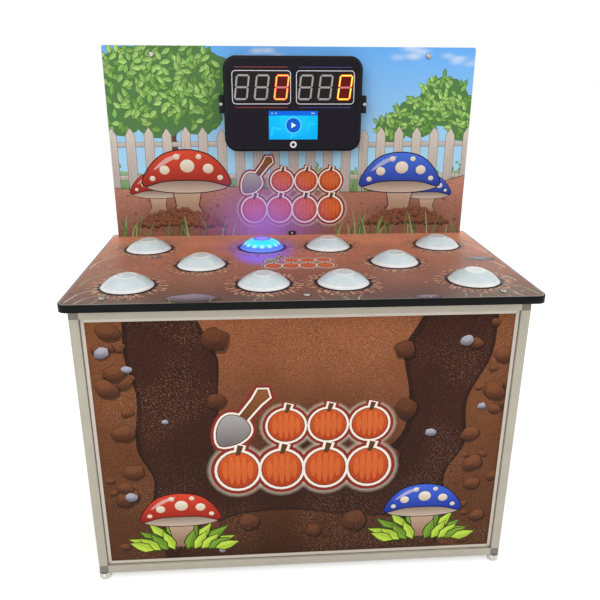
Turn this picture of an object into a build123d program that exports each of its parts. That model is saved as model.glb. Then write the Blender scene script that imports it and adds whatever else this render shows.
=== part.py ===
from build123d import *
import os

# A two-player tap-the-light mole pounding game on an aluminium table frame.
# X runs to the player's right, Y runs away from the players and Z is up.
# The origin is under the middle of the worktop, on the plane that the feet stand on.
# All lengths are in millimetres and all angles in degrees.

os.makedirs("parts", exist_ok=True)

# General values
overrun = 2.0
fit_clearance = 0.3
sliding_clearance = 0.06
mitre_gap = 0.2

# Overall sizes
worktop_width = 1200.0
worktop_depth = 700.0
worktop_height = 894.0
worktop_thickness = 20.0
worktop_corner_radius = 24.0
front_overhang = 87.0
rear_overhang = 13.0

# Square tube, its corner connectors and the levelling feet
tube_size = 25.0
tube_wall = 1.5
plug_length = 30.0
connector_rounding = 1.5
foot_height = 22.0
foot_radius = 17.0
foot_rounding = 4.0
foot_chamfer = 1.0
foot_gap = 0.4
foot_stem_radius = 5.0
foot_stem_length = 36.0
insert_radius = 8.0
insert_length = 20.0

# Infill panels, their edge trim and the seal strips
panel_thickness = 3.0
trim_width = 10.0
trim_depth = 10.0
trim_web = 3.0
trim_recess = 7.0
seal_thickness = 1.0

# Worktop layers, the tubes and brackets below them and the visible bolts
print_thickness = 1.5
edge_band_thickness = 1.5
bracket_width = 40.0
bracket_thickness = 3.0
bracket_reach = 25.0
weld_nut_radius = 8.0
weld_nut_height = 6.0
worktop_bolt_side_inset = 100.0
worktop_bolt_inset = 43.0
bolt_head_radius = 9.0
bolt_head_height = 5.0
bolt_rim_height = 1.4
bolt_shank_radius = 4.0
bolt_socket_radius = 3.2
bolt_socket_depth = 2.4

# Dome buttons: two mirrored groups of five, one for each player
button_side_inset = 144.5
button_middle_gap = 209.0
button_step_y = 183.0
button_field_inset = 322.0
dome_radius = 68.0
dome_height = 30.0
dome_wall = 2.5
dome_lip_height = 1.2
dome_bulge = 4.0
dome_disc_radius = 26.0
dome_disc_step = 0.8
dome_rest_gap = 0.6
dome_travel = 3.0
stem_radius = 12.0
stem_drop = 24.0
collar_radius = 71.0
collar_floor = 1.4
collar_rim_height = 2.0
pan_drop = 5.0
neck_radius = 17.0
neck_drop = 42.0
neck_wall = 3.0
guide_drop = 20.0
lock_ring_radius = 24.0
lock_ring_height = 8.0
lock_ring_notch_radius = 2.5
lock_ring_notch_count = 8
spring_radius = 15.0
spring_wire_radius = 0.7
spring_turns = 5
lamp_board_inner_radius = 30.0
lamp_board_outer_radius = 60.0
lamp_board_thickness = 1.6
lamp_circle_radius = 50.0
lamp_size = 5.0
lamp_height = 1.8
lamp_count = 14
lamp_start_angle = -90.0
switch_length = 20.0
switch_width = 10.0
switch_carrier_thickness = 3.0
plunger_radius = 2.0

# Backboard, the uprights behind it and its cable grommet
backboard_inset = 20.5
backboard_height = 595.0
backboard_thickness = 6.0
backboard_margin = 35.0
backboard_corner_radius = 7.0
support_tube_size = 20.0
support_tube_wall = 1.5
support_inset = 148.5
support_top_margin = 12.0
support_bolt_margin = 26.0
base_plate_width = 84.0
base_plate_depth = 27.0
base_plate_thickness = 4.0
base_bolt_spacing = 29.0
base_bolt_grip = 16.0
grommet_width = 21.0
grommet_height = 11.6
grommet_proud = 4.0
grommet_lip = 2.0
grommet_bore_radius = 3.5
grommet_rounding = 2.5

# Scoreboard case, its mounts and what it holds
case_width = 427.0
case_height = 283.0
case_depth = 44.0
case_corner_radius = 40.0
case_wall = 3.0
case_front_rounding = 8.0
case_rear_gap = 18.0
case_centre_height = 426.0
fascia_inset = 11.0
fascia_thickness = 3.0
fascia_recess = 0.6
fascia_lip = 5.0
cover_thickness = 2.5
mount_thickness = 14.0
mount_height = 52.0
mount_front_setback = 7.0
mount_rounding = 2.0
mount_bolt_offset = 8.0
mount_bolt_head_radius = 6.0
mount_bolt_head_height = 4.0
mount_bolt_radius = 3.0
mount_nut_radius = 5.5
mount_nut_height = 5.0
pivot_radius = 4.0
pivot_engagement = 4.0
pivot_reach = 10.0
pivot_boss_radius = 9.0
pivot_boss_length = 14.0
window_side_margin = 13.8
window_top_margin = 34.2
window_gap = 15.4
window_corner_radius = 6.0
display_margin = 4.0
module_depth = 14.0
screen_width = 152.3
screen_height = 86.0
screen_margin = 6.0
screen_window_gap = 19.1
screen_bottom_margin = 25.7
circuit_side_inset = 28.5
circuit_end_inset = 31.5
circuit_thickness = 1.6
circuit_corner_radius = 6.0
component_size = 18.0
component_height = 8.0
component_spacing = 70.0
component_count = 4

# Control box behind the rear panel and its power inlet
control_box_width = 260.0
control_box_height = 180.0
control_box_depth = 70.0
control_box_wall = 2.0
control_box_rounding = 6.0
control_box_drop = 250.0
inlet_width = 48.0
inlet_height = 28.0
inlet_flange = 6.0
inlet_flange_thickness = 2.5
inlet_depth = 30.0
inlet_socket_width = 24.0
inlet_socket_height = 16.0
inlet_socket_depth = 20.0
inlet_offset = 70.0
pin_width = 2.0
pin_height = 4.0
pin_spacing = 7.0

# Levels and lines worked out from the sizes above
deck_z = worktop_height
board_underside = deck_z - worktop_thickness
frame_top = board_underside - tube_size
frame_bottom = foot_height
worktop_front = -worktop_depth / 2
frame_front = worktop_front + front_overhang
frame_back = worktop_front + worktop_depth - rear_overhang
frame_depth = frame_back - frame_front
frame_half = worktop_width / 2
frame_middle_y = (frame_front + frame_back) / 2
frame_middle_z = (frame_top + frame_bottom) / 2
opening_height = frame_top - frame_bottom - 2 * tube_size
front_opening = worktop_width - 2 * tube_size
side_opening = frame_depth - 2 * tube_size
board_thickness = worktop_thickness - print_thickness
board_top = deck_z - print_thickness
post_x = frame_half - tube_size / 2
post_front_y = frame_front + tube_size / 2
post_back_y = frame_back - tube_size / 2
lower_rail_z = frame_bottom + tube_size / 2
upper_rail_z = frame_top - tube_size / 2
backboard_front = worktop_front + worktop_depth - backboard_margin
backboard_back = backboard_front + backboard_thickness
backboard_width = worktop_width - 2 * backboard_inset
support_spacing = backboard_width / 2 - support_inset
backboard_top = deck_z + backboard_height
case_back = backboard_front - case_rear_gap
case_front = case_back - case_depth
pivot_y = (case_front + case_back) / 2
pivot_z = deck_z + case_centre_height
case_half = case_width / 2


def dome_bolt(plane, grip, head_radius, head_height, shank_radius):
    """A dome-head socket bolt: the plane lies under its head and faces its head."""
    socket_radius = bolt_socket_radius * head_radius / bolt_head_radius
    socket_depth = bolt_socket_depth * head_height / bolt_head_height
    rim_height = bolt_rim_height * head_height / bolt_head_height
    with BuildSketch(plane) as flange:
        Circle(head_radius)
    extrude(flange.sketch, amount=rim_height)
    cap_height = head_height - rim_height
    cap_radius = (head_radius**2 + cap_height**2) / (2 * cap_height)
    profile_plane = Plane(origin=plane.origin, x_dir=plane.x_dir, z_dir=-plane.y_dir)
    with BuildSketch(profile_plane) as cap:
        with BuildLine():
            base = Line((0, rim_height), (head_radius, rim_height))
            rise = RadiusArc(base @ 1, (0, head_height), -cap_radius)
            Line(rise @ 1, base @ 0)
        make_face()
    revolve(cap.sketch, axis=Axis(plane.origin, plane.z_dir))
    with BuildSketch(plane) as shank:
        Circle(shank_radius)
    extrude(shank.sketch, amount=-grip)
    with BuildSketch(plane.offset(head_height)) as socket:
        RegularPolygon(socket_radius, 6)
    extrude(socket.sketch, amount=-socket_depth, mode=Mode.SUBTRACT)


def square_tube(plane, length, size, wall):
    """A length of square tube, from the plane along its normal."""
    with BuildSketch(plane) as section:
        Rectangle(size, size)
        Rectangle(size - 2 * wall, size - 2 * wall, mode=Mode.SUBTRACT)
    extrude(section.sketch, amount=length)


# Posts: four upright tubes between the corner connectors
post_length = opening_height

with BuildPart() as front_posts:
    for side in (-1, 1):
        foot_plane = Plane((side * post_x, post_front_y, frame_bottom + tube_size))
        square_tube(foot_plane, post_length, tube_size, tube_wall)
front_posts.part.label = "front_posts"
export_step(front_posts.part, "parts/front_posts.step")

with BuildPart() as rear_posts:
    for side in (-1, 1):
        foot_plane = Plane((side * post_x, post_back_y, frame_bottom + tube_size))
        square_tube(foot_plane, post_length, tube_size, tube_wall)
rear_posts.part.label = "rear_posts"
export_step(rear_posts.part, "parts/rear_posts.step")

# Rails: long tubes along the front and rear, short tubes along the sides
long_rails = (
    ("front_top_rail", post_front_y, upper_rail_z),
    ("rear_top_rail", post_back_y, upper_rail_z),
    ("front_bottom_rail", post_front_y, lower_rail_z),
    ("rear_bottom_rail", post_back_y, lower_rail_z),
)
for rail_name, rail_y, rail_z in long_rails:
    with BuildPart() as long_rail:
        end_plane = Plane((-front_opening / 2, rail_y, rail_z), x_dir=(0, 1, 0), z_dir=(1, 0, 0))
        square_tube(end_plane, front_opening, tube_size, tube_wall)
    long_rail.part.label = rail_name
    export_step(long_rail.part, f"parts/{rail_name}.step")

for rail_name, rail_z in (("side_top_rails", upper_rail_z), ("side_bottom_rails", lower_rail_z)):
    with BuildPart() as short_rails:
        for side in (-1, 1):
            end_plane = Plane(
                (side * post_x, frame_front + tube_size, rail_z), x_dir=(1, 0, 0), z_dir=(0, 1, 0)
            )
            square_tube(end_plane, side_opening, tube_size, tube_wall)
    short_rails.part.label = rail_name
    export_step(short_rails.part, f"parts/{rail_name}.step")

# Corner connectors: moulded cubes whose three plugs push into the tubes
plug_size = tube_size - 2 * tube_wall - fit_clearance
connector_corners = [
    (side_x, side_y, side_x * post_x, post_front_y if side_y < 0 else post_back_y)
    for side_x in (-1, 1)
    for side_y in (-1, 1)
]


def corner_connector(side_x, side_y, centre_x, centre_y, centre_z, upward):
    """One cube and its plugs, which point inwards and along the post."""
    with BuildSketch(Plane((centre_x, centre_y, centre_z - tube_size / 2))) as cube:
        RectangleRounded(tube_size, tube_size, connector_rounding)
    extrude(cube.sketch, amount=tube_size)
    directions = ((-side_x, 0, 0), (0, -side_y, 0), (0, 0, upward))
    for direction in directions:
        start = Vector(centre_x, centre_y, centre_z) + Vector(direction) * (tube_size / 2)
        with BuildSketch(Plane(start, z_dir=direction)) as plug:
            Rectangle(plug_size, plug_size)
        extrude(plug.sketch, amount=plug_length)


with BuildPart() as top_corner_connectors:
    for side_x, side_y, centre_x, centre_y in connector_corners:
        corner_connector(side_x, side_y, centre_x, centre_y, upper_rail_z, -1)
top_corner_connectors.part.label = "top_corner_connectors"
export_step(top_corner_connectors.part, "parts/top_corner_connectors.step")

stem_top = foot_height - foot_gap + foot_stem_length
with BuildPart() as bottom_corner_connectors:
    for side_x, side_y, centre_x, centre_y in connector_corners:
        corner_connector(side_x, side_y, centre_x, centre_y, lower_rail_z, 1)
    for side_x, side_y, centre_x, centre_y in connector_corners:
        with BuildSketch(Plane((centre_x, centre_y, frame_bottom))) as insert_seat:
            Circle(insert_radius)
        extrude(insert_seat.sketch, amount=insert_length, mode=Mode.SUBTRACT)
        with BuildSketch(Plane((centre_x, centre_y, frame_bottom))) as stem_hole:
            Circle(foot_stem_radius + fit_clearance)
        extrude(stem_hole.sketch, amount=stem_top - frame_bottom + overrun, mode=Mode.SUBTRACT)
bottom_corner_connectors.part.label = "bottom_corner_connectors"
export_step(bottom_corner_connectors.part, "parts/bottom_corner_connectors.step")

# Levelling feet: threaded brass inserts and a turned foot at each corner
with BuildPart() as foot_inserts:
    for side_x, side_y, centre_x, centre_y in connector_corners:
        with BuildSketch(Plane((centre_x, centre_y, frame_bottom))) as bush:
            Circle(insert_radius)
            Circle(foot_stem_radius + sliding_clearance, mode=Mode.SUBTRACT)
        extrude(bush.sketch, amount=insert_length)
foot_inserts.part.label = "foot_inserts"
export_step(foot_inserts.part, "parts/foot_inserts.step")

foot_names = {
    (-1, -1): "front_left_foot",
    (1, -1): "front_right_foot",
    (-1, 1): "rear_left_foot",
    (1, 1): "rear_right_foot",
}
foot_body_height = foot_height - foot_gap
for side_x, side_y, centre_x, centre_y in connector_corners:
    with BuildPart() as foot:
        with BuildSketch(Plane((centre_x, centre_y, 0))):
            Circle(foot_radius)
        extrude(amount=foot_body_height)
        fillet(foot.edges().group_by(Axis.Z)[0], foot_rounding)
        chamfer(foot.edges().group_by(Axis.Z)[-1], foot_chamfer)
        with BuildSketch(Plane((centre_x, centre_y, foot_body_height))):
            Circle(foot_stem_radius)
        extrude(amount=foot_stem_length)
    foot_name = foot_names[(side_x, side_y)]
    foot.part.label = foot_name
    export_step(foot.part, f"parts/{foot_name}.step")

# Infill panels in mitred channel trim, with a seal strip against the tubes
walls = {
    "front": (Plane((0, frame_front, frame_middle_z), x_dir=(1, 0, 0), z_dir=(0, -1, 0)), front_opening),
    "rear": (Plane((0, frame_back, frame_middle_z), x_dir=(-1, 0, 0), z_dir=(0, 1, 0)), front_opening),
    "left": (Plane((-frame_half, frame_middle_y, frame_middle_z), x_dir=(0, -1, 0), z_dir=(-1, 0, 0)),
             side_opening),
    "right": (Plane((frame_half, frame_middle_y, frame_middle_z), x_dir=(0, 1, 0), z_dir=(1, 0, 0)),
              side_opening),
}
slot_thickness = panel_thickness + fit_clearance
panel_offset = trim_recess + trim_depth / 2
inlet_z = frame_top - tube_size - control_box_drop
inlet_rise = inlet_z - frame_middle_z


def mitred_strips(plane, width, height, strip_width, depth):
    """Four separate strips with mitred ends round a rectangle, behind the plane."""
    for turn in range(4):
        along = width if turn % 2 == 0 else height
        across = height if turn % 2 == 0 else width
        turned = plane * Location((0, 0, 0), (0, 0, 1), turn * 90)
        with BuildSketch(turned) as strip:
            Polygon(
                (-along / 2 + mitre_gap, -across / 2),
                (along / 2 - mitre_gap, -across / 2),
                (along / 2 - mitre_gap - strip_width, -across / 2 + strip_width),
                (-along / 2 + mitre_gap + strip_width, -across / 2 + strip_width),
                align=None,
            )
        extrude(strip.sketch, amount=-depth)


for wall_name, (wall, opening_width) in walls.items():
    trim_outer_width = opening_width - 2 * seal_thickness
    trim_outer_height = opening_height - 2 * seal_thickness
    slot_width = trim_outer_width - 2 * trim_web
    slot_height = trim_outer_height - 2 * trim_web
    slot_front = wall.offset(-panel_offset + slot_thickness / 2)

    with BuildPart() as panel_trim:
        mitred_strips(wall.offset(-trim_recess), trim_outer_width, trim_outer_height, trim_width, trim_depth)
        with BuildSketch(slot_front) as slot:
            Rectangle(slot_width, slot_height)
        extrude(slot.sketch, amount=-slot_thickness, mode=Mode.SUBTRACT)
    trim_name = f"{wall_name}_panel_trim"
    panel_trim.part.label = trim_name
    export_step(panel_trim.part, f"parts/{trim_name}.step")

    with BuildPart() as panel:
        with BuildSketch(wall.offset(-panel_offset + panel_thickness / 2)) as sheet:
            Rectangle(slot_width - 2 * fit_clearance, slot_height - 2 * fit_clearance)
            if wall_name == "rear":
                with Locations((inlet_offset, inlet_rise)):
                    Rectangle(inlet_width + fit_clearance, inlet_height + fit_clearance, mode=Mode.SUBTRACT)
        extrude(sheet.sketch, amount=-panel_thickness)
    panel_name = f"{wall_name}_panel"
    panel.part.label = panel_name
    export_step(panel.part, f"parts/{panel_name}.step")

with BuildPart() as panel_seals:
    for wall_name, (wall, opening_width) in walls.items():
        mitred_strips(wall.offset(-trim_recess), opening_width, opening_height, seal_thickness, trim_depth)
panel_seals.part.label = "panel_seals"
export_step(panel_seals.part, "parts/panel_seals.step")

# Button places: one in the middle of each group and four round it
inner_column_x = button_middle_gap / 2
outer_column_x = frame_half - button_side_inset
group_offset = (outer_column_x + inner_column_x) / 2
button_step_x = (outer_column_x - inner_column_x) / 2
button_row_y = worktop_front + button_field_inset
button_places = {}
for group_name, group_side in (("left", -1), ("right", 1)):
    steps = ((1, -1), (-1, -1), (0, 0), (1, 1), (-1, 1))
    for number, (step_x, step_y) in enumerate(steps, start=1):
        button_x = group_side * (group_offset + step_x * button_step_x)
        button_y = button_row_y + step_y * button_step_y
        button_places[f"{group_name}_dome_{number}"] = (button_x, button_y)
button_points = list(button_places.values())
worktop_bolt_y = worktop_front + worktop_bolt_inset
worktop_bolt_spacing = frame_half - worktop_bolt_side_inset
worktop_bolt_points = [(step * worktop_bolt_spacing, worktop_bolt_y) for step in (-1, 0, 1)]
base_plate_y = backboard_back + base_plate_depth / 2
base_bolt_points = [
    (side * support_spacing + step * base_bolt_spacing, base_plate_y) for side in (-1, 1) for step in (-1, 1)
]


def worktop_layer(level, thickness, button_hole_radius):
    """One layer of the worktop inside the edge band, with every hole through it."""
    with BuildSketch(Plane.XY.offset(level)) as layer:
        RectangleRounded(
            worktop_width - 2 * edge_band_thickness,
            worktop_depth - 2 * edge_band_thickness,
            worktop_corner_radius - edge_band_thickness,
        )
        with Locations(*button_points):
            Circle(button_hole_radius, mode=Mode.SUBTRACT)
        with Locations(*worktop_bolt_points, *base_bolt_points):
            Circle(bolt_shank_radius + fit_clearance / 2, mode=Mode.SUBTRACT)
    extrude(layer.sketch, amount=thickness)


# Worktop: a board with a printed sheet on it and a black band round its edge
recess_radius = collar_radius + fit_clearance
with BuildPart() as worktop_board:
    worktop_layer(board_underside, board_thickness, neck_radius + fit_clearance)
    with BuildSketch(Plane.XY.offset(board_top)) as pan_recesses:
        with Locations(*button_points):
            Circle(recess_radius)
    extrude(pan_recesses.sketch, amount=print_thickness - pan_drop, mode=Mode.SUBTRACT)
worktop_board.part.label = "worktop_board"
export_step(worktop_board.part, "parts/worktop_board.step")

with BuildPart() as worktop_print:
    worktop_layer(board_top, print_thickness, recess_radius)
worktop_print.part.label = "worktop_print"
export_step(worktop_print.part, "parts/worktop_print.step")

with BuildPart() as worktop_edge_band:
    with BuildSketch(Plane.XY.offset(board_underside)):
        RectangleRounded(worktop_width, worktop_depth, worktop_corner_radius)
        RectangleRounded(
            worktop_width - 2 * edge_band_thickness,
            worktop_depth - 2 * edge_band_thickness,
            worktop_corner_radius - edge_band_thickness,
            mode=Mode.SUBTRACT,
        )
    extrude(amount=worktop_thickness)
worktop_edge_band.part.label = "worktop_edge_band"
export_step(worktop_edge_band.part, "parts/worktop_edge_band.step")

# Worktop subframe: mitred tubes on the leg frame and three brackets out to the front bolts
bracket_front = worktop_bolt_y - bracket_reach / 2
with BuildPart() as worktop_subframe:
    mitred_strips(
        Plane((0, frame_middle_y, board_underside)), worktop_width, frame_depth, tube_size, tube_size
    )
    hollow_plane = Plane((0, frame_middle_y, board_underside - tube_wall))
    hollow_height = tube_size - 2 * tube_wall
    with BuildSketch(hollow_plane) as hollow:
        Rectangle(worktop_width - 2 * tube_wall, frame_depth - 2 * tube_wall)
        Rectangle(
            worktop_width - 2 * tube_size + 2 * tube_wall,
            frame_depth - 2 * tube_size + 2 * tube_wall,
            mode=Mode.SUBTRACT,
        )
    extrude(hollow.sketch, amount=-hollow_height, mode=Mode.SUBTRACT)
    for bolt_x, bolt_y in worktop_bolt_points:
        with BuildSketch(Plane((bolt_x, bracket_front, board_underside))) as bracket_flat:
            Rectangle(bracket_width, frame_front - bracket_front, align=(Align.CENTER, Align.MIN))
        extrude(bracket_flat.sketch, amount=-bracket_thickness)
        with BuildSketch(Plane((bolt_x, frame_front, board_underside))) as bracket_leg:
            Rectangle(bracket_width, bracket_thickness, align=(Align.CENTER, Align.MAX))
        extrude(bracket_leg.sketch, amount=-tube_size)
        with BuildSketch(Plane((bolt_x, bolt_y, board_underside - bracket_thickness))) as weld_nut:
            Circle(weld_nut_radius)
        extrude(weld_nut.sketch, amount=-weld_nut_height)
        with BuildSketch(Plane((bolt_x, bolt_y, board_underside))) as nut_thread:
            Circle(bolt_shank_radius + sliding_clearance)
        extrude(nut_thread.sketch, amount=-(bracket_thickness + weld_nut_height), mode=Mode.SUBTRACT)
worktop_subframe.part.label = "worktop_subframe"
export_step(worktop_subframe.part, "parts/worktop_subframe.step")

bolt_grip = worktop_thickness + bracket_thickness + weld_nut_height
with BuildPart() as worktop_bolts:
    for bolt_x, bolt_y in worktop_bolt_points:
        dome_bolt(
            Plane((bolt_x, bolt_y, deck_z)), bolt_grip, bolt_head_radius, bolt_head_height, bolt_shank_radius
        )
worktop_bolts.part.label = "worktop_bolts"
export_step(worktop_bolts.part, "parts/worktop_bolts.step")

# Dome buttons: the moving translucent domes
dome_bottom = deck_z + dome_rest_gap
dome_shoulder = dome_bottom + dome_lip_height
dome_top = deck_z + dome_height
disc_edge_z = dome_top - dome_disc_step
outer_run = dome_disc_radius - dome_radius
outer_rise = disc_edge_z - dome_shoulder
chord = (outer_run**2 + outer_rise**2) ** 0.5
inner_radius = dome_radius - dome_wall


def dome_curve(shoulder_radius, shoulder_z, crown_radius, crown_z):
    """The middle point of a dome's bulged side, between its shoulder and its crown."""
    middle_radius = (shoulder_radius + crown_radius) / 2 + dome_bulge * outer_rise / chord
    middle_z = (shoulder_z + crown_z) / 2 - dome_bulge * outer_run / chord
    return (middle_radius, middle_z)


for dome_name, (button_x, button_y) in button_places.items():
    with BuildPart() as dome:
        with BuildSketch(Plane((button_x, button_y, 0), x_dir=(1, 0, 0), z_dir=(0, -1, 0))):
            with BuildLine():
                lip = Line((dome_radius, dome_bottom), (dome_radius, dome_shoulder))
                side_curve = ThreePointArc(
                    lip @ 1,
                    dome_curve(dome_radius, dome_shoulder, dome_disc_radius, disc_edge_z),
                    (dome_disc_radius, disc_edge_z),
                )
                crown = Polyline(side_curve @ 1, (dome_disc_radius, dome_top), (0, dome_top))
                stem = Polyline(
                    crown @ 1,
                    (0, deck_z - stem_drop),
                    (stem_radius, deck_z - stem_drop),
                    (stem_radius, dome_top - dome_wall),
                    (dome_disc_radius, dome_top - dome_wall),
                )
                inner_curve = ThreePointArc(
                    stem @ 1,
                    dome_curve(inner_radius, dome_shoulder, dome_disc_radius, disc_edge_z - dome_wall),
                    (inner_radius, dome_shoulder),
                )
                inner_lip = Line(inner_curve @ 1, (inner_radius, dome_bottom))
                Line(inner_lip @ 1, lip @ 0)
            make_face()
        revolve(axis=Axis((button_x, button_y, 0), (0, 0, 1)))
    dome.part.label = dome_name
    export_step(dome.part, f"parts/{dome_name}.step")

# Button collars: a black pan let into the worktop, with a threaded neck through it
guide_radius = stem_radius + fit_clearance
pan_radius = dome_radius + 2 * fit_clearance
pan_bottom = deck_z - pan_drop
pan_floor = pan_bottom + collar_floor
with BuildPart() as button_collars:
    with BuildSketch(Plane.XY.offset(pan_bottom)):
        with Locations(*button_points):
            Circle(collar_radius)
    extrude(amount=pan_drop + collar_rim_height)
    with BuildSketch(Plane.XY.offset(pan_floor)):
        with Locations(*button_points):
            Circle(pan_radius)
    extrude(amount=pan_drop + collar_rim_height, mode=Mode.SUBTRACT)
    with BuildSketch(Plane.XY.offset(pan_bottom)):
        with Locations(*button_points):
            Circle(neck_radius)
    extrude(amount=pan_drop - neck_drop)
    with BuildSketch(Plane.XY.offset(pan_floor)):
        with Locations(*button_points):
            Circle(guide_radius)
    extrude(amount=-neck_drop, mode=Mode.SUBTRACT)
    with BuildSketch(Plane.XY.offset(deck_z - neck_drop)):
        with Locations(*button_points):
            Circle(neck_radius - neck_wall)
    extrude(amount=neck_drop - guide_drop, mode=Mode.SUBTRACT)
button_collars.part.label = "button_collars"
export_step(button_collars.part, "parts/button_collars.step")

with BuildPart() as button_lock_rings:
    with BuildSketch(Plane.XY.offset(board_underside)):
        with Locations(*button_points):
            Circle(lock_ring_radius)
            Circle(neck_radius + sliding_clearance, mode=Mode.SUBTRACT)
        for place_x, place_y in button_points:
            with Locations((place_x, place_y)):
                with PolarLocations(lock_ring_radius, lock_ring_notch_count):
                    Circle(lock_ring_notch_radius, mode=Mode.SUBTRACT)
    extrude(amount=-lock_ring_height)
button_lock_rings.part.label = "button_lock_rings"
export_step(button_lock_rings.part, "parts/button_lock_rings.step")

spring_bottom = pan_floor + spring_wire_radius
spring_height = dome_top - dome_wall - spring_wire_radius - spring_bottom - fit_clearance
with BuildPart() as button_springs:
    for place_x, place_y in button_points:
        coil = Helix(
            spring_height / spring_turns,
            spring_height,
            spring_radius,
            center=(place_x, place_y, spring_bottom),
            mode=Mode.PRIVATE,
        )
        with BuildSketch(Plane(coil @ 0, z_dir=coil % 0)) as wire:
            Circle(spring_wire_radius)
        sweep(wire.sketch, path=coil, is_frenet=True)
button_springs.part.label = "button_springs"
export_step(button_springs.part, "parts/button_springs.step")

with BuildPart() as button_lamp_boards:
    with BuildSketch(Plane.XY.offset(pan_floor)):
        with Locations(*button_points):
            Circle(lamp_board_outer_radius)
            Circle(lamp_board_inner_radius, mode=Mode.SUBTRACT)
    extrude(amount=lamp_board_thickness)
    with BuildSketch(Plane.XY.offset(pan_floor + lamp_board_thickness)):
        for place_x, place_y in button_points:
            with Locations((place_x, place_y)):
                with PolarLocations(lamp_circle_radius, lamp_count, start_angle=lamp_start_angle):
                    Rectangle(lamp_size, lamp_size)
    extrude(amount=lamp_height)
button_lamp_boards.part.label = "button_lamp_boards"
export_step(button_lamp_boards.part, "parts/button_lamp_boards.step")

switch_top = deck_z - stem_drop - dome_travel - 2 * fit_clearance
carrier_top = deck_z - neck_drop + switch_carrier_thickness
with BuildPart() as button_switches:
    with BuildSketch(Plane.XY.offset(carrier_top)):
        with Locations(*button_points):
            Circle(neck_radius - neck_wall - sliding_clearance)
    extrude(amount=-switch_carrier_thickness)
    with BuildSketch(Plane.XY.offset(carrier_top)):
        with Locations(*button_points):
            Rectangle(switch_length, switch_width)
    extrude(amount=switch_top - plunger_radius - carrier_top)
    with BuildSketch(Plane.XY.offset(switch_top - plunger_radius)):
        with Locations(*button_points):
            Circle(plunger_radius)
    extrude(amount=plunger_radius)
button_switches.part.label = "button_switches"
export_step(button_switches.part, "parts/button_switches.step")

# Backboard: a printed sheet that stands on the rear of the worktop
panel_bolt_z = backboard_top - support_bolt_margin
mount_inner = case_half + 2 * fit_clearance
mount_bolt_x = mount_inner + mount_bolt_offset
backboard_plane = Plane((0, backboard_front, deck_z), x_dir=(1, 0, 0), z_dir=(0, -1, 0))
with BuildPart() as backboard:
    with BuildSketch(backboard_plane) as board_outline:
        Rectangle(backboard_width, backboard_height, align=(Align.CENTER, Align.MIN))
        fillet(board_outline.vertices().group_by(Axis.Z)[-1], backboard_corner_radius)
        with Locations((0, 0)):
            Rectangle(grommet_width, grommet_height, align=(Align.CENTER, Align.MIN), mode=Mode.SUBTRACT)
        with Locations(*[(side * support_spacing, panel_bolt_z - deck_z) for side in (-1, 1)]):
            Circle(bolt_shank_radius + fit_clearance / 2, mode=Mode.SUBTRACT)
        with Locations(*[(side * mount_bolt_x, case_centre_height) for side in (-1, 1)]):
            Circle(mount_bolt_radius + fit_clearance / 2, mode=Mode.SUBTRACT)
    extrude(amount=-backboard_thickness)
backboard.part.label = "backboard"
export_step(backboard.part, "parts/backboard.step")

# Backboard supports: two uprights on base plates and a cross rail at the scoreboard
support_y = backboard_back + support_tube_size / 2
upright_length = backboard_height - support_top_margin - base_plate_thickness
cross_rail_length = 2 * support_spacing - support_tube_size - 2 * mitre_gap
with BuildPart() as backboard_supports:
    for side in (-1, 1):
        with BuildSketch(Plane((side * support_spacing, base_plate_y, deck_z))) as base_plate:
            Rectangle(base_plate_width, base_plate_depth)
        extrude(base_plate.sketch, amount=base_plate_thickness)
        upright_plane = Plane((side * support_spacing, support_y, deck_z + base_plate_thickness))
        square_tube(upright_plane, upright_length, support_tube_size, support_tube_wall)
    rail_plane = Plane((-cross_rail_length / 2, support_y, pivot_z), x_dir=(0, 1, 0), z_dir=(1, 0, 0))
    square_tube(rail_plane, cross_rail_length, support_tube_size, support_tube_wall)
    with BuildSketch(Plane.XY.offset(deck_z)) as base_holes:
        with Locations(*base_bolt_points):
            Circle(bolt_shank_radius + fit_clearance / 2)
    extrude(base_holes.sketch, amount=base_plate_thickness, mode=Mode.SUBTRACT)
    with BuildSketch(backboard_plane.offset(-backboard_thickness)) as panel_bolt_holes:
        with Locations(*[(side * support_spacing, panel_bolt_z - deck_z) for side in (-1, 1)]):
            Circle(bolt_shank_radius + fit_clearance / 2)
    extrude(panel_bolt_holes.sketch, amount=-support_tube_size / 2, mode=Mode.SUBTRACT)
    with BuildSketch(backboard_plane.offset(-backboard_thickness)) as mount_bolt_holes:
        with Locations(*[(side * mount_bolt_x, case_centre_height) for side in (-1, 1)]):
            Circle(mount_bolt_radius + fit_clearance / 2)
    extrude(mount_bolt_holes.sketch, amount=-support_tube_size, mode=Mode.SUBTRACT)
backboard_supports.part.label = "backboard_supports"
export_step(backboard_supports.part, "parts/backboard_supports.step")

panel_bolt_grip = backboard_thickness + support_tube_size / 2
base_bolt_grip_length = base_plate_thickness + base_bolt_grip
with BuildPart() as backboard_bolts:
    for side in (-1, 1):
        panel_bolt_plane = Plane(
            (side * support_spacing, backboard_front, panel_bolt_z), x_dir=(1, 0, 0), z_dir=(0, -1, 0)
        )
        dome_bolt(panel_bolt_plane, panel_bolt_grip, bolt_head_radius, bolt_head_height, bolt_shank_radius)
    for bolt_x, bolt_y in base_bolt_points:
        plate_top = Plane((bolt_x, bolt_y, deck_z + base_plate_thickness))
        dome_bolt(plate_top, base_bolt_grip_length, bolt_head_radius, bolt_head_height, bolt_shank_radius)
backboard_bolts.part.label = "backboard_bolts"
export_step(backboard_bolts.part, "parts/backboard_bolts.step")

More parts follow.
